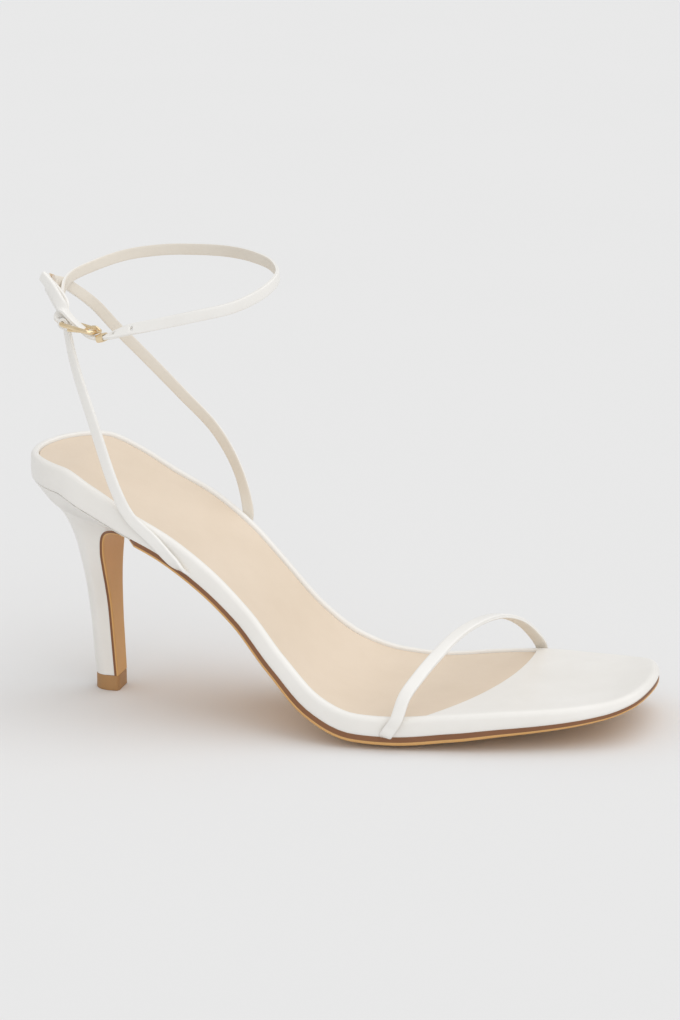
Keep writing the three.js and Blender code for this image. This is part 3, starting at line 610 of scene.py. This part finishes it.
# Toe strap: over the foot slantwise, from one rand to the other
def toe_strap_rows():
    start, end = toe_outer[0][0], toe_inner[0][0]
    rows = []
    for along, across, up, lean in TOE_ARCH_TABLE:
        at = np.array([
            start[0] + (end[0] - start[0]) * along,
            start[1] + (end[1] - start[1]) * across,
            start[2] + (end[2] - start[2]) * along + TOE_STRAP_RISE * up,
        ])
        rows.append((at, np.array([0, lean, math.sqrt(1 - lean * lean)])))
    return toe_outer[::-1] + rows + toe_inner


# Outer strap: up from the outer shank, once round the ankle, then as the billet and its tail
def outer_strap_rows():
    billet = [
        (in_buckle(bar_reach, 0, -strap_stand), buckle_third),
        (in_buckle(0, 0, 0), buckle_third),
        (in_buckle(-bar_reach, 0, strap_stand + TAB_LIFT), buckle_third),
    ]
    tail = [ankle_row(*r) for r in TAIL_TABLE]
    return outer_tuck[::-1] + [ankle_row(*r) for r in OUTER_STRAP_TABLE] + billet + tail


def inner_strap_rows():
    return inner_tuck[::-1] + [ankle_row(*r) for r in INNER_STRAP_TABLE]


# Materials, with colours as linear values and depths in metres
def nodes_of(name):
    material = bpy.data.materials.new(name)
    material.use_nodes = True
    tree = material.node_tree
    shader = tree.nodes["Principled BSDF"]
    coords = tree.nodes.new("ShaderNodeTexCoord")
    return material, tree, shader, coords.outputs["Object"]


# Node helpers, each giving the output socket of a new node
def noise(tree, vector, scale, detail=4.0, rough=0.5):
    node = tree.nodes.new("ShaderNodeTexNoise")
    node.inputs["Scale"].default_value = scale
    node.inputs["Detail"].default_value = detail
    node.inputs["Roughness"].default_value = rough
    tree.links.new(vector, node.inputs["Vector"])
    return node.outputs["Fac"]


def ramp(tree, factor, stops):
    node = tree.nodes.new("ShaderNodeValToRGB")
    while len(node.color_ramp.elements) < len(stops):
        node.color_ramp.elements.new(0.5)
    for element, (spot, colour) in zip(node.color_ramp.elements, stops):
        element.position = spot
        element.color = (*colour, 1)
    tree.links.new(factor, node.inputs["Fac"])
    return node.outputs["Color"]


def span(tree, factor, low, high):
    node = tree.nodes.new("ShaderNodeMapRange")
    node.inputs["To Min"].default_value = low
    node.inputs["To Max"].default_value = high
    tree.links.new(factor, node.inputs["Value"])
    return node.outputs["Result"]


def bump(tree, height, strength, distance, onto=None):
    node = tree.nodes.new("ShaderNodeBump")
    node.inputs["Strength"].default_value = strength
    node.inputs["Distance"].default_value = distance
    tree.links.new(height, node.inputs["Height"])
    if onto is not None:
        tree.links.new(onto, node.inputs["Normal"])
    return node.outputs["Normal"]


def cells(tree, vector, scale):
    node = tree.nodes.new("ShaderNodeTexVoronoi")
    node.feature = "SMOOTH_F1"
    node.inputs["Scale"].default_value = scale
    tree.links.new(vector, node.inputs["Vector"])
    return node.outputs["Distance"]


# Noise scales of the leathers: patches of tone, gloss, and folds as a share of the grain's
TONE_SCALE = 38
GLOSS_SCALE = 900
FOLD_SHARE = 0.16


# Leather: broad tone, fine gloss, and a pebbled grain over a softer one
def leather(name, light, dark, rough, grain, grain_depth, coat=0.0, sheen=0.0, shine=0.5):
    material, tree, shader, coords = nodes_of(name)
    broad = noise(tree, coords, TONE_SCALE, 5, 0.6)
    tree.links.new(ramp(tree, broad, [(0.32, dark), (0.62, light)]), shader.inputs["Base Color"])
    fine = noise(tree, coords, GLOSS_SCALE, 3, 0.55)
    tree.links.new(span(tree, fine, rough - 0.06, rough + 0.07), shader.inputs["Roughness"])
    first = bump(tree, cells(tree, coords, grain), 0.30, grain_depth)
    folds = noise(tree, coords, grain * FOLD_SHARE, 3, 0.5)
    second = bump(tree, folds, 0.20, grain_depth * 3, first)
    tree.links.new(second, shader.inputs["Normal"])
    shader.inputs["Coat Weight"].default_value = coat
    shader.inputs["Coat Roughness"].default_value = 0.28
    shader.inputs["Sheen Weight"].default_value = sheen
    shader.inputs["Specular IOR Level"].default_value = shine
    return material


white = leather(
    "white_leather", (0.885, 0.865, 0.828), (0.850, 0.828, 0.785),
    rough=0.38, grain=2600, grain_depth=0.00004, coat=0.14)
strap_white = leather(
    "strap_leather", (0.895, 0.880, 0.848), (0.865, 0.845, 0.808),
    rough=0.36, grain=2900, grain_depth=0.00003, coat=0.18)
cream = leather(
    "strap_lining", (0.790, 0.735, 0.650), (0.755, 0.695, 0.605),
    rough=0.55, grain=2400, grain_depth=0.00003)
sock_tan = leather(
    "sock_leather", (0.790, 0.660, 0.520), (0.755, 0.625, 0.485),
    rough=0.52, grain=2300, grain_depth=0.00003, sheen=0.05)
sole_tan = leather(
    "sole_leather", (0.720, 0.420, 0.165), (0.670, 0.385, 0.145),
    rough=0.52, grain=1500, grain_depth=0.00003, shine=0.3)
sole_edge = leather(
    "sole_edge", (0.260, 0.118, 0.055), (0.215, 0.094, 0.043),
    rough=0.48, grain=1500, grain_depth=0.00002, shine=0.35)
tip_brown = leather(
    "tip_rubber", (0.440, 0.245, 0.105), (0.405, 0.222, 0.094),
    rough=0.50, grain=1200, grain_depth=0.00002, shine=0.3)
lining = leather(
    "tab_lining", (0.700, 0.535, 0.370), (0.660, 0.495, 0.335),
    rough=0.60, grain=2400, grain_depth=0.00003)


# Pale gold with a soft gloss
def gold_metal():
    material, tree, shader, coords = nodes_of("pale_gold")
    shader.inputs["Metallic"].default_value = 1.0
    dark, light = (0.80, 0.62, 0.38), (0.90, 0.74, 0.50)
    tone = ramp(tree, noise(tree, coords, 260, 3), [(0.3, dark), (0.7, light)])
    tree.links.new(tone, shader.inputs["Base Color"])
    tree.links.new(span(tree, noise(tree, coords, 1400, 2), 0.14, 0.24), shader.inputs["Roughness"])
    tree.links.new(bump(tree, noise(tree, coords, 600, 2), 0.08, 0.00004), shader.inputs["Normal"])
    return material


gold = gold_metal()


# Give a piece its materials and body, and hide the nodes it stands for
def finish_piece(piece, materials, slot, *replaced):
    for material in materials:
        piece.data.materials.append(material)
    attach(piece, "root")
    if replaced:
        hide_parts(*replaced)
    return piece


# X at a share t of the way: up to 1 from the heel to the sock's front, up to 2 on to the toe
def bed_station_x(v, inset, t):
    start, end, edges = outline(inset)
    front = np.full_like(v, SOCK_FRONT - HEEL_OVERHANG)
    for _ in range(8):
        low, high = edges(front)
        front = sock_front((low + high) / 2 + v * (high - low) / 2)
    if t <= 1:
        return start + (front - start) * (1 - math.cos(t * math.pi / 2))
    return front + (end - front) * math.sin((t - 1) * math.pi / 2)


# Points over the bed at shares v of the half width, in from the outline by an inset
def bed_line(v, inset, t, shift, depth):
    start, end, edges = outline(inset)
    x = np.clip(bed_station_x(v, inset, t) + shift, start, end)
    low, high = edges(x)
    y = (low + high) / 2 + v * (high - low) / 2
    return place(x, y, depth(x, y))


# Depth of the rim's rounding, less at the toe where the rand is low
def edge_round(x):
    return np.minimum(EDGE_ROUND, EDGE_ROUND_SHARE * rand_depth(x))


# Depth at a share of the plain side between the rounded rim and the outsole
def side_depth(x, share):
    return edge_round(x) + (rand_depth(x) - OUTSOLE_INSET - edge_round(x)) * share


# Share of the side's height and how far the side stands out there
SIDE_FULLNESS = ((0.35, 0.10), (0.6, 0.14), (0.82, 0.08), (0.94, 0.0))


# Edge of the bed as insets and depths: up out of the sock's hollow, over the lip, down the side
def bed_edge(sunk):
    edge = []
    lip = RIM_INNER_ROUND if sunk else 0.0
    for k in range(RIM_INNER_STEPS + 1):
        a = math.pi / 2 * k / RIM_INNER_STEPS
        inset = RIM_WIDTH - RIM_INNER_ROUND * (1 - math.cos(a))
        drop = lip * (1 - math.sin(a))
        edge.append((inset, lambda x, y, d=drop: foot_depth(x, y) + d))
    for k in range(RIM_OUTER_STEPS + 1):
        a = math.pi / 2 * k / RIM_OUTER_STEPS
        inset = EDGE_ROUND * (1 - math.sin(a)) * 0.98
        drop = 1 - math.cos(a)
        rest = 1 - k / RIM_OUTER_STEPS
        edge.append((inset, lambda x, y, d=drop, r=rest: edge_round(x) * d + r * foot_depth(x, y)))
    for share, full in SIDE_FULLNESS:
        edge.append((-full, lambda x, y, s=share: side_depth(x, s)))
    edge.append((0.04, lambda x, y: rand_depth(x) - OUTSOLE_INSET))
    edge.append((OUTSOLE_INSET, joint_depth))
    return edge


# Shifts of the stations that make the step in front of the sock, and whether each is sunk
SOCK_STEP = ((-0.45, True), (-0.38, True), (-0.30, False), (-0.20, False), (0.15, False))


# Footbed: rim, rounded top edge, slightly full side, and a step down where the sock lies
def footbed():
    stations = [(t, 0.0, True) for t in np.linspace(0, 1, 91)[:-1]]
    stations += [(1.0, shift, sunk) for shift, sunk in SOCK_STEP]
    stations += [(t, 0.0, False) for t in np.linspace(1, 2, 61)[1:]]
    columns = np.linspace(1, -1, 37)
    under = np.linspace(-1, 1, 15)
    near, far = np.array([-1.0]), np.array([1.0])
    rings = []
    for t, shift, sunk in stations:
        hollow = SOCK_DROP + SOCK_THICKNESS + HOLLOW_PLAY if sunk else 0

        def floor_depth(x, y):
            return foot_depth(x, y) + hollow
        edge = bed_edge(sunk)
        rings.append(np.concatenate(
            [bed_line(columns, RIM_WIDTH + 0.05, t, shift, floor_depth)]
            + [bed_line(near, inset, t, shift, depth) for inset, depth in edge]
            + [bed_line(under, OUTSOLE_INSET + 0.3, t, shift, joint_depth)]
            + [bed_line(far, inset, t, shift, depth) for inset, depth in edge[::-1]]
        ))
    return lofted("footbed_cover", rings, BED_SHARP, False, False)


# Closed ring of a sheet: one face, its edge on the outer side, the other face, the inner edge
def sheet_ring(line, columns, rows):
    near, far = np.array([-1.0]), np.array([1.0])
    return np.concatenate(
        [line(columns, *rows[0])]
        + [line(near, *row) for row in rows[1:-1]]
        + [line(-columns, *rows[-1])]
        + [line(far, *row) for row in rows[-2:0:-1]]
    )


# Insets and depths over the sock's soft edge, from its top face to its under face
SOCK_EDGE = (
    (0.30, 0.0), (0.10, 0.07), (0.0, 0.28), (0.0, SOCK_THICKNESS - 0.1), (0.0, SOCK_THICKNESS),
)


# Sock: a thin lining with a soft edge, laid into the footbed
def sock():
    rings = []
    columns = np.linspace(1, -1, 41)
    for t in np.linspace(0, 1, 111):
        def line(v, inset, depth):
            def down(x, y):
                return foot_depth(x, y) + SOCK_DROP + depth
            shift = -GAP * t - inset * t ** 6
            return bed_line(v, RIM_WIDTH + SOCK_GAP + inset, t, shift, down)
        rings.append(sheet_ring(line, columns, SOCK_EDGE))
    # The front is closed by a line half way between the top face and the under face
    last = rings[-1]
    facing = (2 * len(columns) + 1 - np.arange(len(last))) % len(last)
    rings.append(last * 0.5 + last[facing] * 0.5)
    return lofted("sock_lining", rings, BED_SHARP, False, False)


# Breast line of the heel at a row of the table that may lie between two rows
rows_at = np.arange(len(HEEL_TABLE))
heel_curves = [curve(rows_at, HEEL_TABLE[:, k]) for k in range(5)]


def breast_point(k):
    return np.array([CUP_REACH * heel_curves[2](k), SEAT_HEIGHT * heel_curves[3](k)])


def breast_half(k):
    return (HEEL_WAIST_WIDTH / 2) * float(heel_curves[4](k))


# Faces of an outsole ring that lie on its cut edge
SOLE_EDGE_FACES = (SOLE_COLUMNS - 1, 2 * SOLE_COLUMNS + 3)


# Insets and shares of the thickness down the cut edge, and shifts and shares of the half width
# over the flap's edge
SOLE_EDGE = ((0.0, 0.6), (0.12, 0.88), (0.45, 1.0))
FLAP_EDGE = ((FLAP_THICKNESS, 1.0), (FLAP_THICKNESS * 0.4, 1.0), (0.15, 0.985), (0.0, 0.955))


# Rings of the sole from the breast to the toe
def sole_rings(columns):
    start, end, edges = outline(OUTSOLE_INSET)
    begin = float(angle_at((FLAP_TURN - start) / (end - start)))
    rings = []
    for t in np.linspace(begin, 1, SOLE_STEPS):
        x = float(start + (end - start) * share_at(t))
        low, high = edges(x)
        thick = sole_depth(x)

        def line(v, inset, depth):
            y = (low + high) / 2 + v * np.maximum((high - low) / 2 - inset, 0)
            return place(x, y, joint_depth(x, y) + depth)
        edge = [(inset, GAP + thick * share) for inset, share in SOLE_EDGE]
        rings.append(sheet_ring(line, columns, [(0.0, SEAM_GAP)] + edge))
    return rings


# Rings of the flap from the turn at the breast down to the tip
def flap_rings(columns):
    turn = place(FLAP_TURN, 0.0, joint_depth(FLAP_TURN, 0.0) + GAP + sole_depth(FLAP_TURN))
    spots = np.linspace(0, len(HEEL_TABLE) - 1, FLAP_STEPS)
    foot = np.array([TIP_LENGTH / 2 - TIP_SETBACK, TIP_HEIGHT + SEAM_GAP])
    spine = [np.array([turn[0], turn[2]])] + [breast_point(k) for k in spots] + [foot]
    halves = [breast_half(0)] + [breast_half(k) for k in spots] + [TIP_WIDTH / 2 - TIP_LIP]
    rings = []
    for k in range(1, len(spine)):
        along = unit(spine[min(k + 1, len(spine) - 1)] - spine[k - 1])
        back = np.array([along[1], -along[0]])

        def line(v, shift, share):
            x, z = spine[k] + back * shift
            return np.stack([np.full(len(v), x), halves[k] * share * v, np.full(len(v), z)], -1)
        rings.append(sheet_ring(line, columns, FLAP_EDGE))
    return rings


# Outsole and breast flap in one leather piece, cut off at the floor
def outsole():
    columns = np.linspace(1, -1, SOLE_COLUMNS)
    rings = flap_rings(columns)[::-1] + sole_rings(columns)
    for ring in rings:
        ring[:, 2] = np.maximum(ring[:, 2], 0)
    return lofted("outsole_leather", rings, SOLE_SHARP, True, False, SOLE_EDGE_FACES)


# Half width of a round-backed section at a share of its length
def round_back(share):
    part = HEEL_ROUND_PART
    return math.sqrt(max(1 - (1 - share / part) ** 2, 0)) if share < part else 1.0


# Ring round the heel: the outer side from back to front, the breast, and the inner side back
def heel_ring(at, side_steps=26, front_steps=10):
    spots = [1 - math.cos(i * math.pi / 2 / side_steps) for i in range(side_steps + 1)]
    points = [at(a, -1) for a in spots]
    left, right = points[-1], at(1, 1)
    points += [left + (right - left) * i / front_steps for i in range(1, front_steps)]
    points += [at(a, 1) for a in spots[:0:-1]]
    return points


# Shares of the seat's outline and drops below the joint, from the middle out to the seam
SEAT_BANDS = ((0.35, 0.25), (0.8, 0.25), (0.975, 0.25), (0.995, 0.34), (1.0, 0.55))


# Heel: a cup under the seat that runs down to a slim straight column
def heel():
    inner = FLAP_THICKNESS + SEAM_GAP
    start, _, edges = outline(OUTSOLE_INSET * 2)
    middle_x = (start + CUP_FRONT) / 2

    def seat(share, drop):
        def at(a, side):
            x = start + (CUP_FRONT - start) * a
            y = float(edges(x)[0 if side < 0 else 1])
            x, y = middle_x + (x - middle_x) * share, y * share
            return place(x, y, joint_depth(x, y) + drop)
        return heel_ring(at)
    rings = [seat(*band) for band in SEAT_BANDS]
    last = len(HEEL_TABLE) - 1
    for k in np.linspace(0, last, HEEL_STEPS):
        lead = breast_point(min(k + 0.5, last)) - breast_point(max(k - 0.5, 0))
        along = unit(lead)
        front = breast_point(k) + inner * np.array([along[1], -along[0]])
        back = np.array([CUP_REACH * heel_curves[0](k), SEAT_HEIGHT * heel_curves[1](k)])
        half = breast_half(k)

        def at(a, side):
            spot = back + (front - back) * a
            return np.array([spot[0], side * half * round_back(a), spot[1]])
        rings.append(heel_ring(at))
    end_height = TIP_HEIGHT + 0.12
    tip_back = np.array([TIP_LIP - TIP_LENGTH / 2, end_height])
    tip_front = np.array([TIP_LENGTH / 2 - TIP_SETBACK - inner, end_height])

    def low(a, side):
        spot = tip_back + (tip_front - tip_back) * a
        return np.array([spot[0], side * (TIP_WIDTH / 2 - TIP_LIP) * round_back(a), spot[1]])
    end = np.array(heel_ring(low))
    before = np.array(rings[-1])
    for share in (0.25, 0.5, 0.75):
        rings.append(before + (end - before) * share)
    rings.append(end)
    return lofted("heel_cover", rings, HEEL_SHARP)


# Scales and heights of the tip's sections, with a soft lower and upper edge
TIP_BANDS = (
    (0.95, 0.0), (0.985, 0.1), (1.0, 0.35), (1.0, TIP_HEIGHT * 0.5),
    (1.0, TIP_HEIGHT - 0.3), (0.985, TIP_HEIGHT - 0.05), (0.96, TIP_HEIGHT),
)


# Tip: rounded at the back, with small rounded corners in front
def top_piece():
    def section(shrink, z):
        def at(a, side):
            x = -TIP_LENGTH / 2 + TIP_LENGTH * a
            corner = max(x - (TIP_LENGTH / 2 - TIP_CORNER), 0)
            half = (TIP_WIDTH / 2) * round_back(a)
            half -= TIP_CORNER - math.sqrt(max(TIP_CORNER ** 2 - corner ** 2, 0))
            return np.array([x * shrink, side * half * shrink, z])
        return heel_ring(at, 48, 8)
    return lofted("heel_tip", [section(*band) for band in TIP_BANDS], HEEL_SHARP)


finish_piece(footbed(), (white,), "footbed_cover", "footbed")
finish_piece(sock(), (sock_tan,), "sock_lining", "insole")
finish_piece(outsole(), (sole_tan, sole_edge), "sole", "outsole")
finish_piece(heel(), (white,), "heel_cover", "heel")
finish_piece(top_piece(), (tip_brown,), "tip", "top_piece")


# Strap with its lining as the second material
def strap_piece(name, rows, width, thickness, per_span=12, wide=None):
    rings = strap_rings(rows, width, thickness, per_span, wide)
    return lofted(name, rings, STRAP_SHARP, second=LINING_FACES)


toe_strap = strap_piece(
    "toe_strap_band", toe_strap_rows(), TOE_STRAP_WIDTH, TOE_STRAP_THICKNESS)
finish_piece(toe_strap, (strap_white, cream), "strap", "toe_strap")
outer_rows = outer_strap_rows()
outer_strap = strap_piece(
    "ankle_strap_outer", outer_rows, ANKLE_STRAP_WIDTH, ANKLE_STRAP_THICKNESS)
finish_piece(outer_strap, (strap_white, cream), "strap", "ankle_straps")
inner_strap = strap_piece(
    "ankle_strap_inner", inner_strap_rows(), ANKLE_STRAP_WIDTH, ANKLE_STRAP_THICKNESS)
finish_piece(inner_strap, (strap_white, cream), "strap")


# Punched holes in the billet
def punch(piece, rows, spot, radius):
    at, along, out, across = route_frame(rows, spot / (len(rows) - 1))
    rings = []
    for depth in (-PUNCH_REACH, PUNCH_REACH):
        rings.append([
            at + out * depth + radius * (along * math.cos(a) + across * math.sin(a))
            for a in np.linspace(0, 2 * math.pi, 25)[:-1]
        ])
    tool = lofted("punch_tool", rings, WIRE_SHARP)
    cut = piece.modifiers.new("punch", "BOOLEAN")
    cut.operation = "DIFFERENCE"
    cut.solver = "EXACT"
    cut.object = tool
    bpy.context.view_layer.objects.active = piece
    bpy.ops.object.modifier_apply(modifier=cut.name)
    bpy.data.objects.remove(tool)


for spot in HOLE_SPOTS:
    punch(outer_strap, outer_rows, spot, HOLE_RADIUS)


# Shares of the tab's width along its rows, down to the strap's own width at the lap
TAB_SHARES = (TAB_NECK, TAB_NECK, 0.9, 1, 0.95, 0.66)


# Ring of a wire round a point
def wire_ring(at, first, second, radius, sides=20):
    return [
        at + radius * (first * math.cos(a) + second * math.sin(a))
        for a in np.linspace(0, 2 * math.pi, sides + 1)[:-1]
    ]


# Frame of the buckle: a round-cornered rectangle of wire
def buckle_frame():
    short = BUCKLE_HEIGHT / 2 - BUCKLE_WIRE / 2
    rings = []
    for sign_x, sign_y, turn in ((1, 1, 0), (-1, 1, 1), (-1, -1, 2), (1, -1, 3)):
        for i in range(CORNER_STEPS + 1):
            a = (turn + i / CORNER_STEPS) * math.pi / 2
            cos, sin = math.cos(a), math.sin(a)
            x = sign_x * (bar_reach - BUCKLE_CORNER) + BUCKLE_CORNER * cos
            y = sign_y * (short - BUCKLE_CORNER) + BUCKLE_CORNER * sin
            outward = buckle_first * cos - buckle_second * sin
            rings.append(wire_ring(in_buckle(x, y, 0), outward, buckle_third, BUCKLE_WIRE / 2))
    rings.append(rings[0])
    return lofted("buckle_wire", rings, WIRE_SHARP, False, False)


# Prong: a bent wire, slimmer towards its rounded end
def prong():
    stand = BUCKLE_WIRE / 2 + GAP + PRONG_WIRE / 2
    line = [in_buckle(bar_reach * along, 0, stand * up) for along, up in PRONG_TABLE]
    rings = []
    steps = PRONG_STEPS * (len(line) - 1)
    for i in range(steps + 1):
        t = i / steps
        at = route_point(line, t)
        along = unit(route_point(line, min(t + 1e-3, 1)) - route_point(line, max(t - 1e-3, 0)))
        first = unit(np.cross(buckle_second, along))
        second = np.cross(along, first)
        taper = 1 - 0.25 * max(t - 0.8, 0) / 0.2
        rings.append(wire_ring(at, first, second, PRONG_WIRE / 2 * taper, 16))
    for k in range(1, 5):
        a = math.pi / 2 * k / 4
        rings.append(wire_ring(at + along * PRONG_WIRE * 0.36 * math.sin(a), first, second,
                               PRONG_WIRE * 0.375 * max(math.cos(a), 0.03), 16))
    return lofted("buckle_pin", rings, WIRE_SHARP)


# Tab: from the frame's back bar to its lap on the inner strap
def tab_rows():
    start = SLEEVE_WALL + BUCKLE_WIRE / 2
    return [
        (in_buckle(-bar_reach - start, 0, 0), buckle_third),
        (in_buckle(-bar_reach - start * 1.5, 0, TAB_THICKNESS / 2), buckle_third),
    ] + [ankle_row(*r) for r in TAB_TABLE]


# Loop of the tab round the frame's back bar
def sleeve():
    inner = BUCKLE_WIRE / 2 + SLEEVE_PLAY
    outer = BUCKLE_WIRE / 2 + GAP + SLEEVE_WALL
    half = ANKLE_STRAP_WIDTH / 2
    rings = []
    for a in np.linspace(0, 2 * math.pi, 49):
        ray = buckle_first * math.cos(a) + buckle_third * math.sin(a)
        centre = in_buckle(-bar_reach, 0, 0)
        profile = (
            (inner, -half), (outer - SLEEVE_EDGE, -half), (outer, -half + SLEEVE_EDGE),
            (outer, half - SLEEVE_EDGE), (outer - SLEEVE_EDGE, half), (inner, half),
        )
        rings.append([centre + ray * r + buckle_second * w for r, w in profile])
    return lofted("tab_sleeve", rings, STRAP_SHARP, False, False)


finish_piece(buckle_frame(), (gold,), "buckle_metal", "buckle_frame")
finish_piece(prong(), (gold,), "buckle_metal", "buckle_prong")
tab = strap_piece(
    "buckle_tab_band", tab_rows(), TAB_WIDTH, TAB_THICKNESS, per_span=14, wide=TAB_SHARES)
finish_piece(tab, (strap_white, lining), "strap", "buckle_tab")
finish_piece(sleeve(), (strap_white,), "strap")


# Shares of the keeper's wall and length round its section, and how square its loop is
KEEPER_SECTION = ((0, -0.5), (0.8, -0.5), (1, -0.35), (1, 0.35), (0.8, 0.5), (0, 0.5))
KEEPER_POWER = 0.45


# Gold keeper round the billet in front of the buckle
def keeper():
    at, _, out, across = route_frame(outer_rows, KEEPER_SPOT / (len(outer_rows) - 1))
    along = unit(np.cross(across, out))
    rings = []
    for a in np.linspace(0, 2 * math.pi, 65):
        cos, sin = math.cos(a), math.sin(a)
        w = math.copysign(abs(cos) ** KEEPER_POWER, cos)
        h = math.copysign(abs(sin) ** KEEPER_POWER, sin)
        ring = []
        for wall, reach in KEEPER_SECTION:
            wide = ANKLE_STRAP_WIDTH / 2 + KEEPER_PLAY + KEEPER_WALL * wall
            tall = ANKLE_STRAP_THICKNESS / 2 + KEEPER_PLAY + KEEPER_WALL * wall
            ring.append(at + across * w * wide + out * h * tall + along * KEEPER_LENGTH * reach)
        rings.append(ring)
    return lofted("buckle_keeper", rings, HEEL_SHARP, False, False)


finish_piece(keeper(), (gold,), "buckle_metal")


# Floor and world tones, and each sun's way, strength and angle
FLOOR_REACH = 60.0
FLOOR_TONES = (0.817, 0.823)
WORLD_TONE = 0.68
SUNS = (
    ("key", (-0.45, -0.15, -1.0), 0.80, 70),
    ("front", (-0.45, 0.75, -0.45), 0.55, 60),
)


# Plain pale floor
def floor_piece():
    floor_mesh = bpy.data.meshes.new("floor")
    corners = ((-1, -1), (1, -1), (1, 1), (-1, 1))
    points = [(x * FLOOR_REACH, y * FLOOR_REACH, 0) for x, y in corners]
    floor_mesh.from_pydata(points, [], [(0, 1, 2, 3)])
    floor = bpy.data.objects.new("floor", floor_mesh)
    bpy.context.scene.collection.objects.link(floor)
    material, tree, shader, coords = nodes_of("floor_paint")
    tone = noise(tree, coords, 6, 2)
    stops = [(0.2, (FLOOR_TONES[0],) * 3), (0.8, (FLOOR_TONES[1],) * 3)]
    tree.links.new(ramp(tree, tone, stops), shader.inputs["Base Color"])
    shader.inputs["Roughness"].default_value = 0.9
    shader.inputs["Specular IOR Level"].default_value = 0.0
    floor_mesh.materials.append(material)


# Even sky and two broad suns
def lights():
    world = bpy.data.worlds.new("studio")
    world.use_nodes = True
    background = world.node_tree.nodes["Background"]
    background.inputs["Color"].default_value = (WORLD_TONE, WORLD_TONE, WORLD_TONE, 1)
    background.inputs["Strength"].default_value = 1.0
    bpy.context.scene.world = world

    for name, towards, strength, angle in SUNS:
        sun = bpy.data.lights.new(name, "SUN")
        sun.energy = strength
        sun.angle = math.radians(angle)
        lamp = bpy.data.objects.new(name, sun)
        lamp.rotation_mode = "QUATERNION"
        lamp.rotation_quaternion = Vector(towards).to_track_quat("-Z", "Y")
        bpy.context.scene.collection.objects.link(lamp)


# Camera of the photograph's view
def camera_piece():
    lens = bpy.data.cameras.new("camera")
    lens.sensor_fit = "VERTICAL"
    lens.sensor_height = 36
    lens.lens = CAMERA_LENS
    lens.clip_end = 200
    camera = bpy.data.objects.new("camera", lens)
    camera.location = Vector(CAMERA_PLACE) * 0.001
    aim = (Vector(CAMERA_AIM) - Vector(CAMERA_PLACE)).normalized()
    camera.rotation_mode = "QUATERNION"
    camera.rotation_quaternion = aim.to_track_quat("-Z", "Y")
    bpy.context.scene.collection.objects.link(camera)
    bpy.context.scene.camera = camera
    bpy.context.scene.view_settings.view_transform = "Standard"


floor_piece()
lights()
camera_piece()
